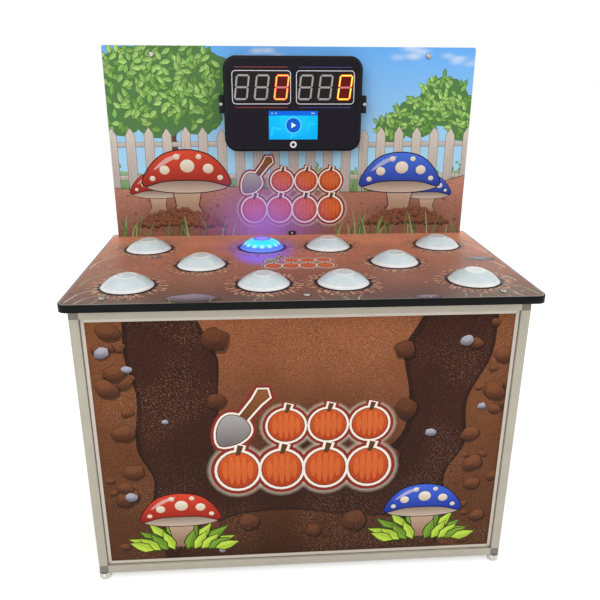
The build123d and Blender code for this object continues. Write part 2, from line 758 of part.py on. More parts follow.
# Cable grommet in the notch at the middle of the backboard's foot
with BuildPart() as cable_grommet:
    with BuildSketch(backboard_plane.offset(grommet_proud)) as grommet_outline:
        Rectangle(grommet_width, grommet_height, align=(Align.CENTER, Align.MIN))
        fillet(grommet_outline.vertices().group_by(Axis.Z)[-1], grommet_rounding)
        with Locations((0, grommet_height / 2)):
            Circle(grommet_bore_radius, mode=Mode.SUBTRACT)
    extrude(amount=-(grommet_proud + backboard_thickness))
    with BuildSketch(backboard_plane.offset(grommet_proud)) as grommet_flange:
        Rectangle(
            grommet_width + 2 * grommet_lip, grommet_height + grommet_lip, align=(Align.CENTER, Align.MIN)
        )
        fillet(grommet_flange.vertices().group_by(Axis.Z)[-1], grommet_rounding + grommet_lip)
        with Locations((0, grommet_height / 2)):
            Circle(grommet_bore_radius, mode=Mode.SUBTRACT)
    extrude(amount=-grommet_proud)
cable_grommet.part.label = "cable_grommet"
export_step(cable_grommet.part, "parts/cable_grommet.step")

# Scoreboard mounts: a block at each side of the case, bolted through the backboard
mount_front = case_front + mount_front_setback
mount_depth = backboard_front - mount_front
mount_side_planes = {
    side: Plane((side * mount_inner, pivot_y, pivot_z), x_dir=(0, side, 0), z_dir=(side, 0, 0))
    for side in (-1, 1)
}
with BuildPart() as scoreboard_mounts:
    for side in (-1, 1):
        block_centre_x = side * (mount_inner + mount_thickness / 2)
        block_plane = Plane((block_centre_x, mount_front, pivot_z), x_dir=(1, 0, 0), z_dir=(0, 1, 0))
        with BuildSketch(block_plane) as block:
            RectangleRounded(mount_thickness, mount_height, mount_rounding)
        extrude(block.sketch, amount=mount_depth)
        with BuildSketch(mount_side_planes[side]) as pivot_seat:
            Circle(pivot_radius)
        extrude(pivot_seat.sketch, amount=pivot_engagement, mode=Mode.SUBTRACT)
        bolt_plane = Plane((side * mount_bolt_x, mount_front, pivot_z), x_dir=(1, 0, 0), z_dir=(0, 1, 0))
        with BuildSketch(bolt_plane) as bolt_hole:
            Circle(mount_bolt_radius + fit_clearance / 2)
        extrude(bolt_hole.sketch, amount=mount_depth, mode=Mode.SUBTRACT)
scoreboard_mounts.part.label = "scoreboard_mounts"
export_step(scoreboard_mounts.part, "parts/scoreboard_mounts.step")

mount_bolt_length = mount_depth + backboard_thickness + support_tube_size + mount_nut_height
with BuildPart() as mount_bolts:
    for side in (-1, 1):
        head_plane = Plane((side * mount_bolt_x, mount_front, pivot_z), x_dir=(1, 0, 0), z_dir=(0, -1, 0))
        dome_bolt(
            head_plane,
            mount_bolt_length,
            mount_bolt_head_radius,
            mount_bolt_head_height,
            mount_bolt_radius,
        )
        nut_origin = (side * mount_bolt_x, backboard_back + support_tube_size, pivot_z)
        with BuildSketch(Plane(nut_origin, x_dir=(1, 0, 0), z_dir=(0, 1, 0))) as nut:
            RegularPolygon(mount_nut_radius, 6)
        extrude(nut.sketch, amount=mount_nut_height)
mount_bolts.part.label = "mount_bolts"
export_step(mount_bolts.part, "parts/mount_bolts.step")

with BuildPart() as pivot_pins:
    for side in (-1, 1):
        with BuildSketch(mount_side_planes[side].offset(pivot_engagement)) as pin:
            Circle(pivot_radius)
        extrude(pin.sketch, amount=-(pivot_engagement + 2 * fit_clearance + pivot_reach))
pivot_pins.part.label = "pivot_pins"
export_step(pivot_pins.part, "parts/pivot_pins.step")

# Scoreboard case: a moulded tub, open at the back, with a window for the fascia
case_front_plane = Plane((0, case_front, pivot_z), x_dir=(1, 0, 0), z_dir=(0, -1, 0))
fascia_width = case_width - 2 * fascia_inset
fascia_height = case_height - 2 * fascia_inset
fascia_corner_radius = case_corner_radius - fascia_inset
fascia_seat = fascia_recess + fascia_thickness
with BuildPart() as scoreboard_case:
    with BuildSketch(case_front_plane):
        RectangleRounded(case_width, case_height, case_corner_radius)
    extrude(amount=-case_depth)
    fillet(scoreboard_case.edges().group_by(Axis.Y)[0], case_front_rounding)
    with BuildSketch(case_front_plane):
        RectangleRounded(fascia_width, fascia_height, fascia_corner_radius)
    extrude(amount=-fascia_seat, mode=Mode.SUBTRACT)
    with BuildSketch(case_front_plane):
        RectangleRounded(
            fascia_width - 2 * fascia_lip, fascia_height - 2 * fascia_lip, fascia_corner_radius - fascia_lip
        )
    extrude(amount=-(fascia_seat + case_wall), mode=Mode.SUBTRACT)
    with BuildSketch(case_front_plane.offset(-(fascia_seat + case_wall))):
        RectangleRounded(
            case_width - 2 * case_wall, case_height - 2 * case_wall, case_corner_radius - case_wall
        )
    extrude(amount=-case_depth, mode=Mode.SUBTRACT)
    for side in (-1, 1):
        boss_plane = Plane(
            (side * (case_half - case_wall), pivot_y, pivot_z), x_dir=(0, side, 0), z_dir=(-side, 0, 0)
        )
        with BuildSketch(boss_plane) as boss:
            Circle(pivot_boss_radius)
        extrude(boss.sketch, amount=pivot_boss_length)
        with BuildSketch(Plane(boss_plane.origin, z_dir=boss_plane.z_dir).offset(-case_wall)) as boss_bore:
            Circle(pivot_radius + sliding_clearance)
        extrude(boss_bore.sketch, amount=pivot_reach + fit_clearance, mode=Mode.SUBTRACT)
scoreboard_case.part.label = "scoreboard_case"
export_step(scoreboard_case.part, "parts/scoreboard_case.step")

with BuildPart() as scoreboard_cover:
    cover_plane = Plane((0, case_back, pivot_z), x_dir=(1, 0, 0), z_dir=(0, -1, 0))
    with BuildSketch(cover_plane):
        RectangleRounded(
            case_width - 2 * case_wall - fit_clearance,
            case_height - 2 * case_wall - fit_clearance,
            case_corner_radius - case_wall,
        )
    extrude(amount=cover_thickness)
scoreboard_cover.part.label = "scoreboard_cover"
export_step(scoreboard_cover.part, "parts/scoreboard_cover.step")

# Fascia: a black acrylic sheet with a window for each display and the screen
fascia_plane = case_front_plane.offset(-fascia_recess)
window_width = (fascia_width - 2 * window_side_margin - window_gap) / 2
window_height = fascia_height - window_top_margin - screen_window_gap - screen_height - screen_bottom_margin
window_offset = (window_width + window_gap) / 2
window_rise = (fascia_height - window_height) / 2 - window_top_margin
screen_drop = (fascia_height - screen_height) / 2 - screen_bottom_margin
window_points = [(side * window_offset, window_rise) for side in (-1, 1)]
with BuildPart() as scoreboard_fascia:
    with BuildSketch(fascia_plane):
        RectangleRounded(
            fascia_width - fit_clearance, fascia_height - fit_clearance, fascia_corner_radius
        )
        with Locations(*window_points):
            RectangleRounded(window_width, window_height, window_corner_radius, mode=Mode.SUBTRACT)
        with Locations((0, -screen_drop)):
            Rectangle(screen_width, screen_height, mode=Mode.SUBTRACT)
    extrude(amount=-fascia_thickness)
scoreboard_fascia.part.label = "scoreboard_fascia"
export_step(scoreboard_fascia.part, "parts/scoreboard_fascia.step")

# Display modules and touch screen: each fills its window and seats behind the fascia
fascia_back = fascia_plane.offset(-fascia_thickness)
face_height = fascia_thickness - fit_clearance
for display_name, window_point in zip(("left_score_display", "right_score_display"), window_points):
    with BuildPart() as score_display:
        with BuildSketch(fascia_back):
            with Locations(window_point):
                Rectangle(window_width + 2 * display_margin, window_height + 2 * display_margin)
        extrude(amount=-module_depth)
        with BuildSketch(fascia_back):
            with Locations(window_point):
                RectangleRounded(
                    window_width - fit_clearance, window_height - fit_clearance, window_corner_radius
                )
        extrude(amount=face_height)
    score_display.part.label = display_name
    export_step(score_display.part, f"parts/{display_name}.step")

screen_body_height = screen_height + screen_margin
with BuildPart() as touch_screen:
    with BuildSketch(fascia_back):
        with Locations((0, -screen_drop - screen_margin / 2)):
            Rectangle(screen_width + 2 * screen_margin, screen_body_height)
    extrude(amount=-module_depth)
    with BuildSketch(fascia_back):
        with Locations((0, -screen_drop)):
            Rectangle(screen_width - fit_clearance, screen_height - fit_clearance)
    extrude(amount=face_height)
touch_screen.part.label = "touch_screen"
export_step(touch_screen.part, "parts/touch_screen.step")

# Circuit board across the backs of the displays
circuit_front = fascia_back.offset(-module_depth)
component_start = -component_spacing * (component_count - 1) / 2
with BuildPart() as scoreboard_circuit:
    with BuildSketch(circuit_front):
        RectangleRounded(
            case_width - 2 * circuit_side_inset, case_height - 2 * circuit_end_inset, circuit_corner_radius
        )
    extrude(amount=-circuit_thickness)
    with BuildSketch(circuit_front.offset(-circuit_thickness)):
        for number in range(component_count):
            with Locations((component_start + number * component_spacing, 0)):
                Rectangle(component_size, component_size)
    extrude(amount=-component_height)
scoreboard_circuit.part.label = "scoreboard_circuit"
export_step(scoreboard_circuit.part, "parts/scoreboard_circuit.step")

# Control box: a folded tray screwed to the inside of the rear panel
rear_wall = walls["rear"][0]
rear_panel_inside = rear_wall.offset(-panel_offset - panel_thickness / 2)
with BuildPart() as control_box:
    with BuildSketch(rear_panel_inside):
        with Locations((0, inlet_rise)):
            RectangleRounded(control_box_width, control_box_height, control_box_rounding)
    extrude(amount=-control_box_depth)
    with BuildSketch(rear_panel_inside):
        with Locations((0, inlet_rise)):
            RectangleRounded(
                control_box_width - 2 * control_box_wall,
                control_box_height - 2 * control_box_wall,
                control_box_rounding - control_box_wall,
            )
    extrude(amount=-(control_box_depth - control_box_wall), mode=Mode.SUBTRACT)
control_box.part.label = "control_box"
export_step(control_box.part, "parts/control_box.step")

# Power inlet through the rear panel, with three flat pins in its socket
rear_panel_outside = rear_wall.offset(-panel_offset + panel_thickness / 2)
with BuildPart() as power_inlet:
    with BuildSketch(rear_panel_outside):
        with Locations((inlet_offset, inlet_rise)):
            Rectangle(inlet_width, inlet_height)
    extrude(amount=-inlet_depth)
    with BuildSketch(rear_panel_outside):
        with Locations((inlet_offset, inlet_rise)):
            Rectangle(inlet_width + 2 * inlet_flange, inlet_height + 2 * inlet_flange)
    extrude(amount=inlet_flange_thickness)
    with BuildSketch(rear_panel_outside.offset(inlet_flange_thickness)):
        with Locations((inlet_offset, inlet_rise)):
            Rectangle(inlet_socket_width, inlet_socket_height)
        with Locations(*[(inlet_offset + step * pin_spacing, inlet_rise) for step in (-1, 0, 1)]):
            Rectangle(pin_width, pin_height, mode=Mode.SUBTRACT)
    extrude(amount=-inlet_socket_depth, mode=Mode.SUBTRACT)
power_inlet.part.label = "power_inlet"
export_step(power_inlet.part, "parts/power_inlet.step")
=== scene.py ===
import random
from math import cos, pi, radians, sin, tau

import bmesh
import bpy
from mathutils import Matrix, Vector
from mathutils.geometry import delaunay_2d_cdt


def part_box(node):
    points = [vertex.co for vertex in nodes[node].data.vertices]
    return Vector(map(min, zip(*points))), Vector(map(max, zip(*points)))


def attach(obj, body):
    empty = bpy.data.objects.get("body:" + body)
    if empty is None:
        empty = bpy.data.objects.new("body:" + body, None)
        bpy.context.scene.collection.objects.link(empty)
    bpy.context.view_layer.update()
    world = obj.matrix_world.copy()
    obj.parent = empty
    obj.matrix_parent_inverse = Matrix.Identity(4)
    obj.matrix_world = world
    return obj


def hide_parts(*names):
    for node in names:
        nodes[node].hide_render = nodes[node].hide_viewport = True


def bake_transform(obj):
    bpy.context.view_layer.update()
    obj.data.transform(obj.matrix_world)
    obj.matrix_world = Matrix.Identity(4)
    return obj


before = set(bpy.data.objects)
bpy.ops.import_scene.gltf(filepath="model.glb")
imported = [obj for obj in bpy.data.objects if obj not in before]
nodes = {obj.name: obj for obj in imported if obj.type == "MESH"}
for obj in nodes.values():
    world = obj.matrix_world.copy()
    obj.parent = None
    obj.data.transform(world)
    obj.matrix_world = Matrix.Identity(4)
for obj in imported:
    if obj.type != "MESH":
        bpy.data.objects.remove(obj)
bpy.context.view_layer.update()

# The viewpoint: a standing visitor's eye, a little left of the middle, looking down at the worktop.
# The lens and the turns were solved from the corners of the worktop and the backboard.
eye = Vector((-0.1232, -1.8012, 1.4189))
eye_turn = radians(4.08)
eye_drop = radians(19.74)
eye_roll = radians(0.275)
camera_data = bpy.data.cameras.new("viewpoint")
camera_data.sensor_width = 36.0
camera_data.lens = 38.37
camera = bpy.data.objects.new("viewpoint", camera_data)
camera.matrix_world = (
    Matrix.Translation(eye)
    @ Matrix.Rotation(-eye_turn, 4, "Z")
    @ Matrix.Rotation(pi / 2 - eye_drop, 4, "X")
    @ Matrix.Rotation(eye_roll, 4, "Z")
)
bpy.context.collection.objects.link(camera)
bpy.context.scene.camera = camera
bpy.context.scene.view_settings.view_transform = "Standard"


# The room: a white studio with a pale floor, soft light from all round and three large lamps.
# The floor keeps the object's shadow; the sky is white to the eye and to what reflects it.
def tint(red, green, blue):
    """A paint chip's screen values, 0 to 255, as the renderer's linear colour."""
    channels = [value / 255 for value in (red, green, blue)]
    return tuple(c / 12.92 if c < 0.04 else ((c + 0.055) / 1.055) ** 2.4 for c in channels) + (1.0,)


def join(tree, source, target):
    """A link from one node's output to another node's input."""
    tree.links.new(source, target)


world = bpy.data.worlds.new("studio")
bpy.context.scene.world = world
world.use_nodes = True
sky_tree = world.node_tree
sky = sky_tree.nodes["Background"]


def seen_or_mirrored(tree):
    """1 for what the eye, a mirror or a clear plastic shows, and 0 for what lights the object."""
    ray_kind = tree.nodes.new("ShaderNodeLightPath")
    direct = tree.nodes.new("ShaderNodeMath")
    direct.operation = "MAXIMUM"
    any_seen = tree.nodes.new("ShaderNodeMath")
    any_seen.operation = "MAXIMUM"
    join(tree, ray_kind.outputs["Is Camera Ray"], direct.inputs[0])
    join(tree, ray_kind.outputs["Is Glossy Ray"], direct.inputs[1])
    join(tree, direct.outputs[0], any_seen.inputs[0])
    join(tree, ray_kind.outputs["Is Transmission Ray"], any_seen.inputs[1])
    return any_seen.outputs[0]


sky_level = sky_tree.nodes.new("ShaderNodeMapRange")
sky_level.inputs["To Min"].default_value = 0.62
sky_level.inputs["To Max"].default_value = 1.0
sky.inputs["Color"].default_value = (1.0, 1.0, 1.0, 1.0)
join(sky_tree, seen_or_mirrored(sky_tree), sky_level.inputs["Value"])
join(sky_tree, sky_level.outputs["Result"], sky.inputs["Strength"])

lamp_places = (
    ("front_lamp", (-1.4, -3.4, 2.9), 2.4, 54.0),
    ("side_lamp", (2.8, -1.4, 2.8), 2.0, 22.0),
    ("rear_lamp", (0.6, 3.2, 2.6), 2.2, 26.0),
)
look_at = Vector((0.0, 0.0, 0.75))
for lamp_name, lamp_place, lamp_span, lamp_power in lamp_places:
    lamp_data = bpy.data.lights.new(lamp_name, "AREA")
    lamp_data.shape = "DISK"
    lamp_data.size = lamp_span
    lamp_data.energy = lamp_power
    lamp_object = bpy.data.objects.new(lamp_name, lamp_data)
    aim = (look_at - Vector(lamp_place)).to_track_quat("-Z", "Y")
    lamp_object.matrix_world = Matrix.Translation(lamp_place) @ aim.to_matrix().to_4x4()
    bpy.context.collection.objects.link(lamp_object)

floor_reach = 6.0
floor_mesh = bpy.data.meshes.new("floor")
floor_corners = [(-floor_reach, -floor_reach, 0), (floor_reach, -floor_reach, 0),
                 (floor_reach, floor_reach, 0), (-floor_reach, floor_reach, 0)]
floor_mesh.from_pydata(floor_corners, [], [(0, 1, 2, 3)])
floor = bpy.data.objects.new("floor", floor_mesh)
floor_paint = bpy.data.materials.new("pale_floor")
floor_paint.use_nodes = True
floor_shader = floor_paint.node_tree.nodes["Principled BSDF"]
floor_shader.inputs["Base Color"].default_value = (0.93, 0.93, 0.93, 1.0)
floor_shader.inputs["Roughness"].default_value = 0.9
floor_shader.inputs["Specular IOR Level"].default_value = 0.1
floor_shader.inputs["Emission Color"].default_value = (1.0, 1.0, 1.0, 1.0)
floor_level = floor_paint.node_tree.nodes.new("ShaderNodeMath")
floor_level.operation = "MULTIPLY"
floor_level.inputs[1].default_value = 0.44
join(floor_paint.node_tree, seen_or_mirrored(floor_paint.node_tree), floor_level.inputs[0])
join(floor_paint.node_tree, floor_level.outputs[0], floor_shader.inputs["Emission Strength"])
floor_mesh.materials.append(floor_paint)
bpy.context.collection.objects.link(floor)


# Posts and rails: 25 mm square tube, extruded in aluminium and satin anodised to a warm grey.
# They push onto the corner connectors; the tube's edges are slightly rounded by its die.
def socket(tree, direction, kind, name, value=None):
    """A named input or output on a node group, with its starting value."""
    made = tree.interface.new_socket(name=name, in_out=direction, socket_type=kind)
    if value is not None:
        made.default_value = value
    return made


fine_grain = bpy.data.node_groups.new("Fine Grain", "ShaderNodeTree")
socket(fine_grain, "INPUT", "NodeSocketColor", "Colour", (0.5, 0.5, 0.5, 1.0))
socket(fine_grain, "INPUT", "NodeSocketFloat", "Mottle", 0.1)
socket(fine_grain, "INPUT", "NodeSocketFloat", "Grains per Metre", 400.0)
socket(fine_grain, "INPUT", "NodeSocketVector", "Stretch", (1.0, 1.0, 1.0))
socket(fine_grain, "INPUT", "NodeSocketFloat", "Roughness", 0.4)
socket(fine_grain, "INPUT", "NodeSocketFloat", "Roughness Spread", 0.1)
socket(fine_grain, "INPUT", "NodeSocketFloat", "Depth", 0.0001)
socket(fine_grain, "OUTPUT", "NodeSocketColor", "Colour")
socket(fine_grain, "OUTPUT", "NodeSocketFloat", "Roughness")
socket(fine_grain, "OUTPUT", "NodeSocketVector", "Normal")


def add_node(tree, kind, settings=(), **values):
    """A node with its settings as attributes and its starting values by input name."""
    made = tree.nodes.new(kind)
    for key, value in dict(settings).items():
        setattr(made, key, value)
    for key, value in values.items():
        made.inputs[key.replace("_", " ")].default_value = value
    return made


def join_all(tree, pairs):
    """Links for each pair of an output and an input, in their order."""
    for source, target in pairs:
        join(tree, source, target)


grain_in = fine_grain.nodes.new("NodeGroupInput")
grain_out = fine_grain.nodes.new("NodeGroupOutput")
grain_place = fine_grain.nodes.new("ShaderNodeTexCoord")
grain_stretch = add_node(fine_grain, "ShaderNodeVectorMath", {"operation": "MULTIPLY"})
grain_noise = add_node(fine_grain, "ShaderNodeTexNoise", Detail=4.0, Roughness=0.6)
patch_share = add_node(fine_grain, "ShaderNodeMath", {"operation": "MULTIPLY"})
patch_share.inputs[1].default_value = 0.03
patch_noise = add_node(fine_grain, "ShaderNodeTexNoise", Detail=3.0)
both_noises = add_node(fine_grain, "ShaderNodeMath", {"operation": "ADD"})
mottle_range = add_node(fine_grain, "ShaderNodeMapRange", From_Min=0.6, From_Max=1.4)
mottle_low = add_node(fine_grain, "ShaderNodeMath", {"operation": "SUBTRACT"})
mottle_low.inputs[0].default_value = 1.0
mottle_high = add_node(fine_grain, "ShaderNodeMath", {"operation": "ADD"})
mottle_high.inputs[0].default_value = 1.0
mottled = add_node(fine_grain, "ShaderNodeVectorMath", {"operation": "SCALE"})
rough_middle = add_node(fine_grain, "ShaderNodeMath", {"operation": "SUBTRACT"})
rough_middle.inputs[1].default_value = 0.5
rough_sum = add_node(fine_grain, "ShaderNodeMath", {"operation": "MULTIPLY_ADD", "use_clamp": True})
grain_bump = add_node(fine_grain, "ShaderNodeBump", Strength=1.0)
join_all(fine_grain, (
    (grain_place.outputs["Object"], grain_stretch.inputs[0]),
    (grain_in.outputs["Stretch"], grain_stretch.inputs[1]),
    (grain_stretch.outputs[0], grain_noise.inputs["Vector"]),
    (grain_in.outputs["Grains per Metre"], grain_noise.inputs["Scale"]),
    (grain_in.outputs["Grains per Metre"], patch_share.inputs[0]),
    (grain_place.outputs["Object"], patch_noise.inputs["Vector"]),
    (patch_share.outputs[0], patch_noise.inputs["Scale"]),
    (grain_noise.outputs["Fac"], both_noises.inputs[0]),
    (patch_noise.outputs["Fac"], both_noises.inputs[1]),
    (both_noises.outputs[0], mottle_range.inputs["Value"]),
    (grain_in.outputs["Mottle"], mottle_low.inputs[1]),
    (grain_in.outputs["Mottle"], mottle_high.inputs[1]),
    (mottle_low.outputs[0], mottle_range.inputs["To Min"]),
    (mottle_high.outputs[0], mottle_range.inputs["To Max"]),
    (grain_in.outputs["Colour"], mottled.inputs[0]),
    (mottle_range.outputs["Result"], mottled.inputs["Scale"]),
    (mottled.outputs[0], grain_out.inputs["Colour"]),
    (grain_noise.outputs["Fac"], rough_middle.inputs[0]),
    (rough_middle.outputs[0], rough_sum.inputs[0]),
    (grain_in.outputs["Roughness Spread"], rough_sum.inputs[1]),
    (grain_in.outputs["Roughness"], rough_sum.inputs[2]),
    (rough_sum.outputs[0], grain_out.inputs["Roughness"]),
    (grain_noise.outputs["Fac"], grain_bump.inputs["Height"]),
    (grain_in.outputs["Depth"], grain_bump.inputs["Distance"]),
    (grain_bump.outputs["Normal"], grain_out.inputs["Normal"]),
))


def finish(name, colour, roughness, metallic=0.0, mottle=0.08, grains=400.0, stretch=(1.0, 1.0, 1.0),
           spread=0.15, depth=0.00008, alpha=1.0, coat=0.0, specular=0.5):
    """A material whose colour, roughness and bump come from the fine grain."""
    material = bpy.data.materials.new(name)
    material.use_nodes = True
    tree = material.node_tree
    shader = tree.nodes["Principled BSDF"]
    shader.inputs["Metallic"].default_value = metallic
    shader.inputs["Alpha"].default_value = alpha
    shader.inputs["Coat Weight"].default_value = coat
    shader.inputs["Specular IOR Level"].default_value = specular
    grain = tree.nodes.new("ShaderNodeGroup")
    grain.node_tree = fine_grain
    grain.inputs["Colour"].default_value = colour
    grain.inputs["Mottle"].default_value = mottle
    grain.inputs["Grains per Metre"].default_value = grains
    grain.inputs["Stretch"].default_value = stretch
    grain.inputs["Roughness"].default_value = roughness
    grain.inputs["Roughness Spread"].default_value = spread
    grain.inputs["Depth"].default_value = depth
    join(tree, grain.outputs["Colour"], shader.inputs["Base Color"])
    join(tree, grain.outputs["Roughness"], shader.inputs["Roughness"])
    join(tree, grain.outputs["Normal"], shader.inputs["Normal"])
    return material


def add_piece(name, mesh, body, replaced=(), materials=()):
    """Puts a finished mesh in the scene, on its body if it has one and what it stands for."""
    piece = bpy.data.objects.new(name, mesh)
    bpy.context.collection.objects.link(piece)
    for material in materials:
        mesh.materials.append(material)
    if body:
        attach(piece, body)
    if replaced:
        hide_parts(*replaced)
    return piece


weld_reach = 1e-6
flat_angle = radians(1)
soft_angle = radians(32)
rounded_angle = radians(40)


def smooth_by_angle(mesh):
    """Smooth shading, with a sharp edge where two faces meet at more than the soft angle."""
    mesh.shade_smooth()
    mesh.set_sharp_from_angle(angle=soft_angle)


def dressed_copy(node, body, material, edge_radius):
    """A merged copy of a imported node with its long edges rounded, which stands for the node."""
    shape = bmesh.new()
    shape.from_mesh(nodes[node].data)
    bmesh.ops.remove_doubles(shape, verts=shape.verts, dist=weld_reach)
    bmesh.ops.dissolve_limit(shape, angle_limit=flat_angle, verts=shape.verts, edges=shape.edges)
    if edge_radius:
        edges = [e for e in shape.edges if len(e.link_faces) == 2 and e.calc_face_angle() > rounded_angle]
        bmesh.ops.bevel(shape, geom=edges, offset=edge_radius, segments=2, profile=0.5,
                        affect="EDGES", clamp_overlap=True)
    mesh = bpy.data.meshes.new(node)
    shape.to_mesh(mesh)
    shape.free()
    smooth_by_angle(mesh)
    return add_piece(f"{node}_dressed", mesh, body, (node,), (material,))


def repaint(node, material):
    """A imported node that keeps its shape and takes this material."""
    nodes[node].data.materials.clear()
    nodes[node].data.materials.append(material)


tube_edge = 0.0012
tube_colour = tint(181, 175, 160)
anodised_along = {
    run: finish(f"anodised_tube_along_{run}", tube_colour, 0.42, 0.35, 0.07, 600.0, stretch)
    for run, stretch in (("x", (0.02, 1.0, 1.0)), ("y", (1.0, 0.02, 1.0)), ("z", (1.0, 1.0, 0.02)))
}
tube_runs = {
    "front_posts": "z",
    "rear_posts": "z",
    "front_top_rail": "x",
    "rear_top_rail": "x",
    "front_bottom_rail": "x",
    "rear_bottom_rail": "x",
    "side_top_rails": "y",
    "side_bottom_rails": "y",
}
for tube, run in tube_runs.items():
    dressed_copy(tube, "table", anodised_along[run], tube_edge)


# Corner connectors: moulded grey cubes of glass-filled nylon, with a plug in each tube.
# Their faces have a coarse moulded grain and their edges are rounded.
moulded_grey = finish("moulded_grey_nylon", tint(126, 121, 112), 0.5, 0.0, 0.16, 700.0, depth=0.0002)
for connectors in ("top_corner_connectors", "bottom_corner_connectors"):
    dressed_copy(connectors, "table", moulded_grey, tube_edge)


# Levelling feet: short turned steel discs on threaded studs, screwed into brass inserts.
# They are nickel plated, with a rounded lower edge and a fine turned face.
def turned(shape, profile, centre, steps, closed=False):
    """Turns a profile of radius and height pairs round the upright axis through a centre."""
    rings = []
    for radius, height in profile:
        if radius == 0:
            rings.append([shape.verts.new((centre[0], centre[1], height))])
            continue
        rings.append([
            shape.verts.new((centre[0] + radius * cos(tau * k / steps),
                             centre[1] + radius * sin(tau * k / steps), height))
            for k in range(steps)
        ])
    pairs = list(zip(rings, rings[1:]))
    if closed:
        pairs.append((rings[-1], rings[0]))
    for lower, upper in pairs:
        for k in range(steps):
            after = (k + 1) % steps
            if len(lower) == 1 and len(upper) == 1:
                continue
            if len(lower) == 1:
                shape.faces.new((lower[0], upper[after], upper[k]))
            elif len(upper) == 1:
                shape.faces.new((lower[k], lower[after], upper[0]))
            else:
                shape.faces.new((lower[k], lower[after], upper[after], upper[k]))


def closed_mesh(name, shape):
    """A mesh from a closed shape, with its faces turned outwards."""
    bmesh.ops.recalc_face_normals(shape, faces=shape.faces)
    mesh = bpy.data.meshes.new(name)
    shape.to_mesh(mesh)
    shape.free()
    smooth_by_angle(mesh)
    return mesh


plated_steel = finish("plated_steel", tint(196, 192, 184), 0.24, 1.0, 0.06, 1200.0, (1.0, 1.0, 0.06))
foot_groove = 0.0006
stud_thread_pitch = 0.0015
disc_height = 0.0216
groove_height = disc_height * 0.72
stud_radius = 0.005
foot_corner = 0.004
foot_steps = 40
for foot in ("front_left_foot", "front_right_foot", "rear_left_foot", "rear_right_foot"):
    low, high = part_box(foot)
    foot_middle = ((low.x + high.x) / 2, (low.y + high.y) / 2)
    foot_radius = (high.x - low.x) / 2
    profile = [(0, 0), (foot_radius - foot_corner, 0)]
    profile += [
        (foot_radius - foot_corner + foot_corner * sin(radians(a)),
         foot_corner - foot_corner * cos(radians(a)))
        for a in (22.5, 45, 67.5, 90)
    ]
    profile += [
        (foot_radius, groove_height - foot_groove), (foot_radius - foot_groove, groove_height),
        (foot_radius, groove_height + foot_groove), (foot_radius, disc_height - foot_groove),
        (foot_radius - foot_groove, disc_height), (stud_radius, disc_height),
    ]
    thread_count = int((high.z - disc_height) / stud_thread_pitch)
    for turn in range(thread_count):
        thread_low = disc_height + turn * stud_thread_pitch
        profile.append((stud_radius - foot_groove, thread_low + stud_thread_pitch / 3))
        profile.append((stud_radius, thread_low + stud_thread_pitch * 2 / 3))
    profile += [(stud_radius - foot_groove, high.z), (0, high.z)]
    foot_shape = bmesh.new()
    turned(foot_shape, profile, foot_middle, foot_steps)
    add_piece(f"{foot}_turned", closed_mesh(foot, foot_shape), foot, (foot,), (plated_steel,))
brass = finish("turned_brass", tint(190, 160, 92), 0.3, 1.0, 0.06, 900.0)
repaint("foot_inserts", brass)


# Panel trim: pale anodised channel, mitred at the corners, with a black rubber seal round it.
# The panels slide into the channel's slot before the last strip goes on.
trim_along_x = finish("anodised_trim_along_x", tint(203, 195, 182), 0.36, 0.3, 0.04, 900.0, (0.02, 1.0, 1.0))
trim_edge = 0.0008
for wall in ("front", "rear", "left", "right"):
    dressed_copy(f"{wall}_panel_trim", "table", trim_along_x, trim_edge)
seal_rubber = finish("seal_rubber", tint(26, 25, 24), 0.75, 0.0, 0.1, 600.0)
repaint("panel_seals", seal_rubber)


# Printed panels: 3 mm sheets with a satin print, made up of painted areas laid over each other.
# Every motif is a plain garden one: earth, pebbles, leaves, gourds, toadstools and a trowel.
class Drawing:
    """Areas of paint on a flat sheet, in metres, the later ones over the earlier ones."""

    def __init__(self, outline, paint, grain):
        self.areas = []
        self.cuts = set()
        self.add(outline, paint, 1.0, grain)

    def add(self, outline, paint, cover=1.0, grain=0.0):
        """Lays an area over the earlier ones; its outline may run either way round."""
        size = sum(a[0] * b[1] - b[0] * a[1] for a, b in zip(outline, outline[1:] + outline[:1]))
        self.areas.append((outline if size > 0 else outline[::-1], paint, cover, grain))

    def cut(self, outline):
        """Leaves a hole in the sheet."""
        self.cuts.add(len(self.areas))
        self.add(outline, None)


def value_at(rule, x, y):
    """A paint or a cover at one place, whether it changes over the sheet or not."""
    return rule(x, y) if callable(rule) else rule


def upright_fade(top_colour, bottom_colour, top, bottom):
    """Paint that changes evenly from the top's height to the bottom's height."""
    def paint(x, y):
        share = min(max((top - y) / (top - bottom), 0.0), 1.0)
        return tuple(a + (b - a) * share for a, b in zip(top_colour, bottom_colour))
    return paint


